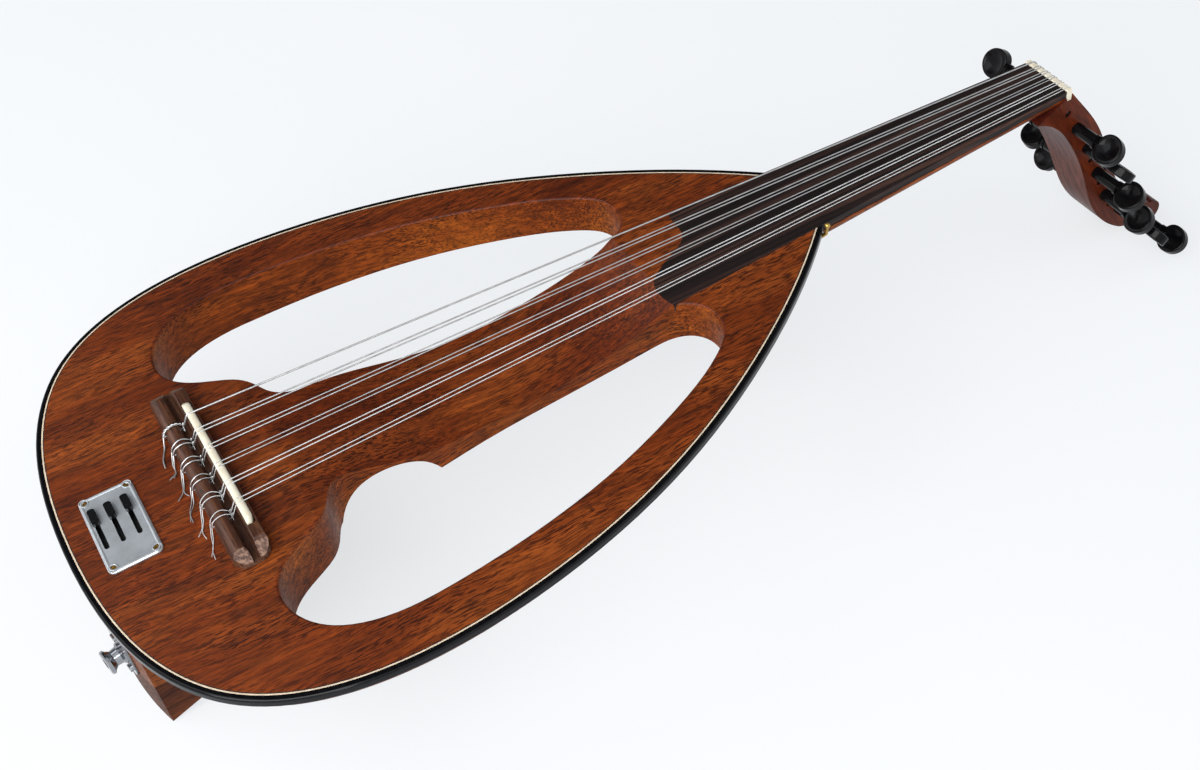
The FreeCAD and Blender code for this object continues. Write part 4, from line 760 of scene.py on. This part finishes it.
def make_bridge():
    bm = bmesh.new()
    layer = bm.verts.layers.float.new("worn")
    rings = []
    for y in bridge_stations():
        points, wear = bridge_section(y)
        ring = [bm.verts.new(p) for p in points]
        for vertex, value in zip(ring, wear):
            vertex[layer] = value
        rings.append(ring)
    skin(bm, rings)
    bmesh.ops.remove_doubles(bm, verts=bm.verts, dist=0.001)
    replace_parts(new_object("bridge_carved", bm, "instrument", "rosewood", 28.0), "bridge")


def saddle_section(y):
    """Rounded top, sloping away over the last few millimetres at each end."""
    near = y - SADDLE_ENDS[0]
    end = min(near, SADDLE_ENDS[1] - y)
    drop = max(0.0, SADDLE_END[0] - end) * SADDLE_END[1]
    bevel = max(0.0, SADDLE_BEVEL[0] - near) * SADDLE_BEVEL[1]
    top = SADDLE_TOP - drop
    front = SADDLE_FRONT - bevel
    outline = [(SADDLE_BACK, SADDLE_ROOT), (SADDLE_BACK, top - 1.2), (SADDLE_BACK + 0.35, top - 0.45),
               (SADDLE_BACK + 1.1, top), (front - 1.7, top - 0.1), (front - 0.6, top - 0.6),
               (front, top - 1.5), (front, SADDLE_ROOT)]
    return [Vector((x, y, z)) for x, z in outline]


def make_saddle():
    low, high = SADDLE_ENDS
    step, spans = 0.6, 12
    stations = [low + step * k for k in range(10)]
    stations += [lerp(low + 6, high - 3.6, k / spans) for k in range(spans + 1)]
    stations += [high - 3.0 + step * k for k in range(6)]
    bm = bmesh.new()
    skin(bm, [[bm.verts.new(p) for p in saddle_section(y)] for y in stations])
    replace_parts(new_object("saddle_shaped", bm, "instrument", "bone", 35.0), "saddle")


make_bridge()
make_saddle()


# ------------------------------------------------------------------ preamp plate trim
def rounded_rectangle(inset, steps=8):
    """Points round the plate's outline moved inwards by inset, counter-clockwise from above."""
    radius = max(PLATE_CORNER - inset, 0.6)
    x0, x1 = PLATE_X[0] + inset + radius, PLATE_X[1] - inset - radius
    y0, y1 = PLATE_Y[0] + inset + radius, PLATE_Y[1] - inset - radius
    points = []
    for quarter, (x, y) in enumerate(((x1, y1), (x0, y1), (x0, y0), (x1, y0))):
        for k in range(steps + 1):
            angle = math.pi / 2 * (quarter + k / steps)
            points.append((x + radius * math.cos(angle), y + radius * math.sin(angle)))
    return points


def make_plate_rim():
    """Raised rounded rim just inside the plate's bevel."""
    bm = bmesh.new()
    rings = []
    for inset, rise in RIM_PROFILE:
        height = PLATE_TOP - SEATED + rise
        rings.append([bm.verts.new((x, y, height)) for x, y in rounded_rectangle(inset)])
    skin(bm, rings, ends=False)
    new_object("preamp_plate_rim", bm, "instrument", "chrome")


def circle(bm, x, y, z, radius):
    """Ring of vertices round a screw."""
    angles = [math.tau * k / CUP_SIDES for k in range(CUP_SIDES)]
    return [bm.verts.new((x + radius * math.cos(a), y + radius * math.sin(a), z)) for a in angles]


def make_screw_cups():
    """Raised ring round each plate screw."""
    bm = bmesh.new()
    for x in (PLATE_X[0] + PLATE_SCREW_INSET, PLATE_X[1] - PLATE_SCREW_INSET):
        for y in (PLATE_Y[0] + PLATE_SCREW_INSET, PLATE_Y[1] - PLATE_SCREW_INSET):
            rings = [circle(bm, x, y, PLATE_TOP - SEATED + rise, radius) for radius, rise in CUP_PROFILE]
            skin(bm, rings, ends=False)
    new_object("preamp_screw_cups", bm, "instrument", "chrome")


make_plate_rim()
make_screw_cups()


# ------------------------------------------------------------------ lights, floor, camera
# Camera and the point it looks at, drawn level in millimetres, and its turn about its own axis.
EYE = (-658.2, -663.7, 680.2)
AIM = (-396.25, -70.14, 0.0)
LENS, SENSOR_WIDTH, ROLL = 47.9, 36.0, -2.43
CLIP_END = 50.0

WORLD_STRENGTH = 1.15
WORLD_COLOUR = (0.94, 0.97, 1.0)
# cosines between which the dome dims, and what is left of it there
DIM_EDGE, DIM_CORE, DIM_SHARE = 0.55, 0.88, 0.06

FLOOR_HALF = 8.0
FLOOR_GLOW = 0.69

# lamps: place, aim and size in metres, and power in watts
KEY_LAMP = ((-1.6, -1.3, 1.35), (0.0, 0, 0.08), (2.6, 1.8), 92.0)
RIM_LAMP = ((-1.3, 0.6, 1.5), (-0.1, 0, 0.1), (1.2, 1.2), 10.0, (0.95, 0.97, 1.0))


def area_light(name, location, target, size, power, colour=(1, 1, 1)):
    data = bpy.data.lights.new(name, "AREA")
    data.shape = "RECTANGLE"
    data.size, data.size_y = size
    data.energy = power
    data.color = colour
    lamp = bpy.data.objects.new(name, data)
    lamp.location = location
    aim = Vector(target) - Vector(location)
    lamp.rotation_euler = aim.to_track_quat("-Z", "Y").to_euler()
    bpy.context.scene.collection.objects.link(lamp)


def make_world(dim_towards):
    """White studio with one dim side, so that the lacquer there stays deep instead of milky."""
    world = bpy.data.worlds.new("studio")
    bpy.context.scene.world = world
    world.use_nodes = True
    nodes, links = world.node_tree.nodes, world.node_tree.links
    where = nodes.new("ShaderNodeTexCoord")
    towards = nodes.new("ShaderNodeVectorMath")
    towards.operation = "DOT_PRODUCT"
    towards.inputs[1].default_value = Vector(dim_towards).normalized()
    level_of = nodes.new("ShaderNodeMapRange")
    level_of.interpolation_type = "SMOOTHSTEP"
    level_of.inputs["From Min"].default_value = DIM_EDGE
    level_of.inputs["From Max"].default_value = DIM_CORE
    level_of.inputs["To Min"].default_value = WORLD_STRENGTH
    level_of.inputs["To Max"].default_value = WORLD_STRENGTH * DIM_SHARE
    links.new(where.outputs["Generated"], towards.inputs[0])
    links.new(towards.outputs["Value"], level_of.inputs["Value"])
    background = nodes["Background"]
    background.inputs["Color"].default_value = (*WORLD_COLOUR, 1)
    links.new(level_of.outputs["Result"], background.inputs["Strength"])


def make_floor():
    """Backlit white sweep, so that shadows stay faint."""
    bm = bmesh.new()
    bmesh.ops.create_grid(bm, x_segments=8, y_segments=8, size=FLOOR_HALF)
    mesh = bpy.data.meshes.new("floor")
    bm.to_mesh(mesh)
    bm.free()
    floor = bpy.data.objects.new("floor", mesh)
    bpy.context.scene.collection.objects.link(floor)
    n = Nodes("floor_pale")
    cloud = n.noise(n.coords((1.5, 1.5, 1.5)), 3.0, 0.5)
    n.set(Base_Color=n.ramp(cloud, [(0.3, (0.175, 0.18, 0.185)), (0.7, (0.19, 0.19, 0.195))]),
          Roughness=0.9, Specular_IOR_Level=0.1,
          Emission_Color=(0.96, 0.98, 1.0), Emission_Strength=FLOOR_GLOW)
    mesh.materials.append(n.material)


def make_camera():
    """Standing over the tail on the treble side and looking down the instrument."""
    data = bpy.data.cameras.new("camera")
    data.lens = LENS
    data.sensor_width = SENSOR_WIDTH
    data.clip_end = CLIP_END
    camera = bpy.data.objects.new("camera", data)
    bpy.context.scene.collection.objects.link(camera)
    eye = place(*EYE)
    rotation = (place(*AIM) - eye).to_track_quat("-Z", "Y").to_matrix().to_4x4()
    roll = Matrix.Rotation(math.radians(ROLL), 4, "Z")
    camera.matrix_world = Matrix.Translation(eye) @ rotation @ roll
    bpy.context.scene.camera = camera


bpy.context.scene.view_settings.view_transform = "Standard"
make_world((AIM[0] - EYE[0], AIM[1] - EYE[1], EYE[2]))
make_floor()
make_camera()
area_light("key", *KEY_LAMP)
area_light("rim", *RIM_LAMP)
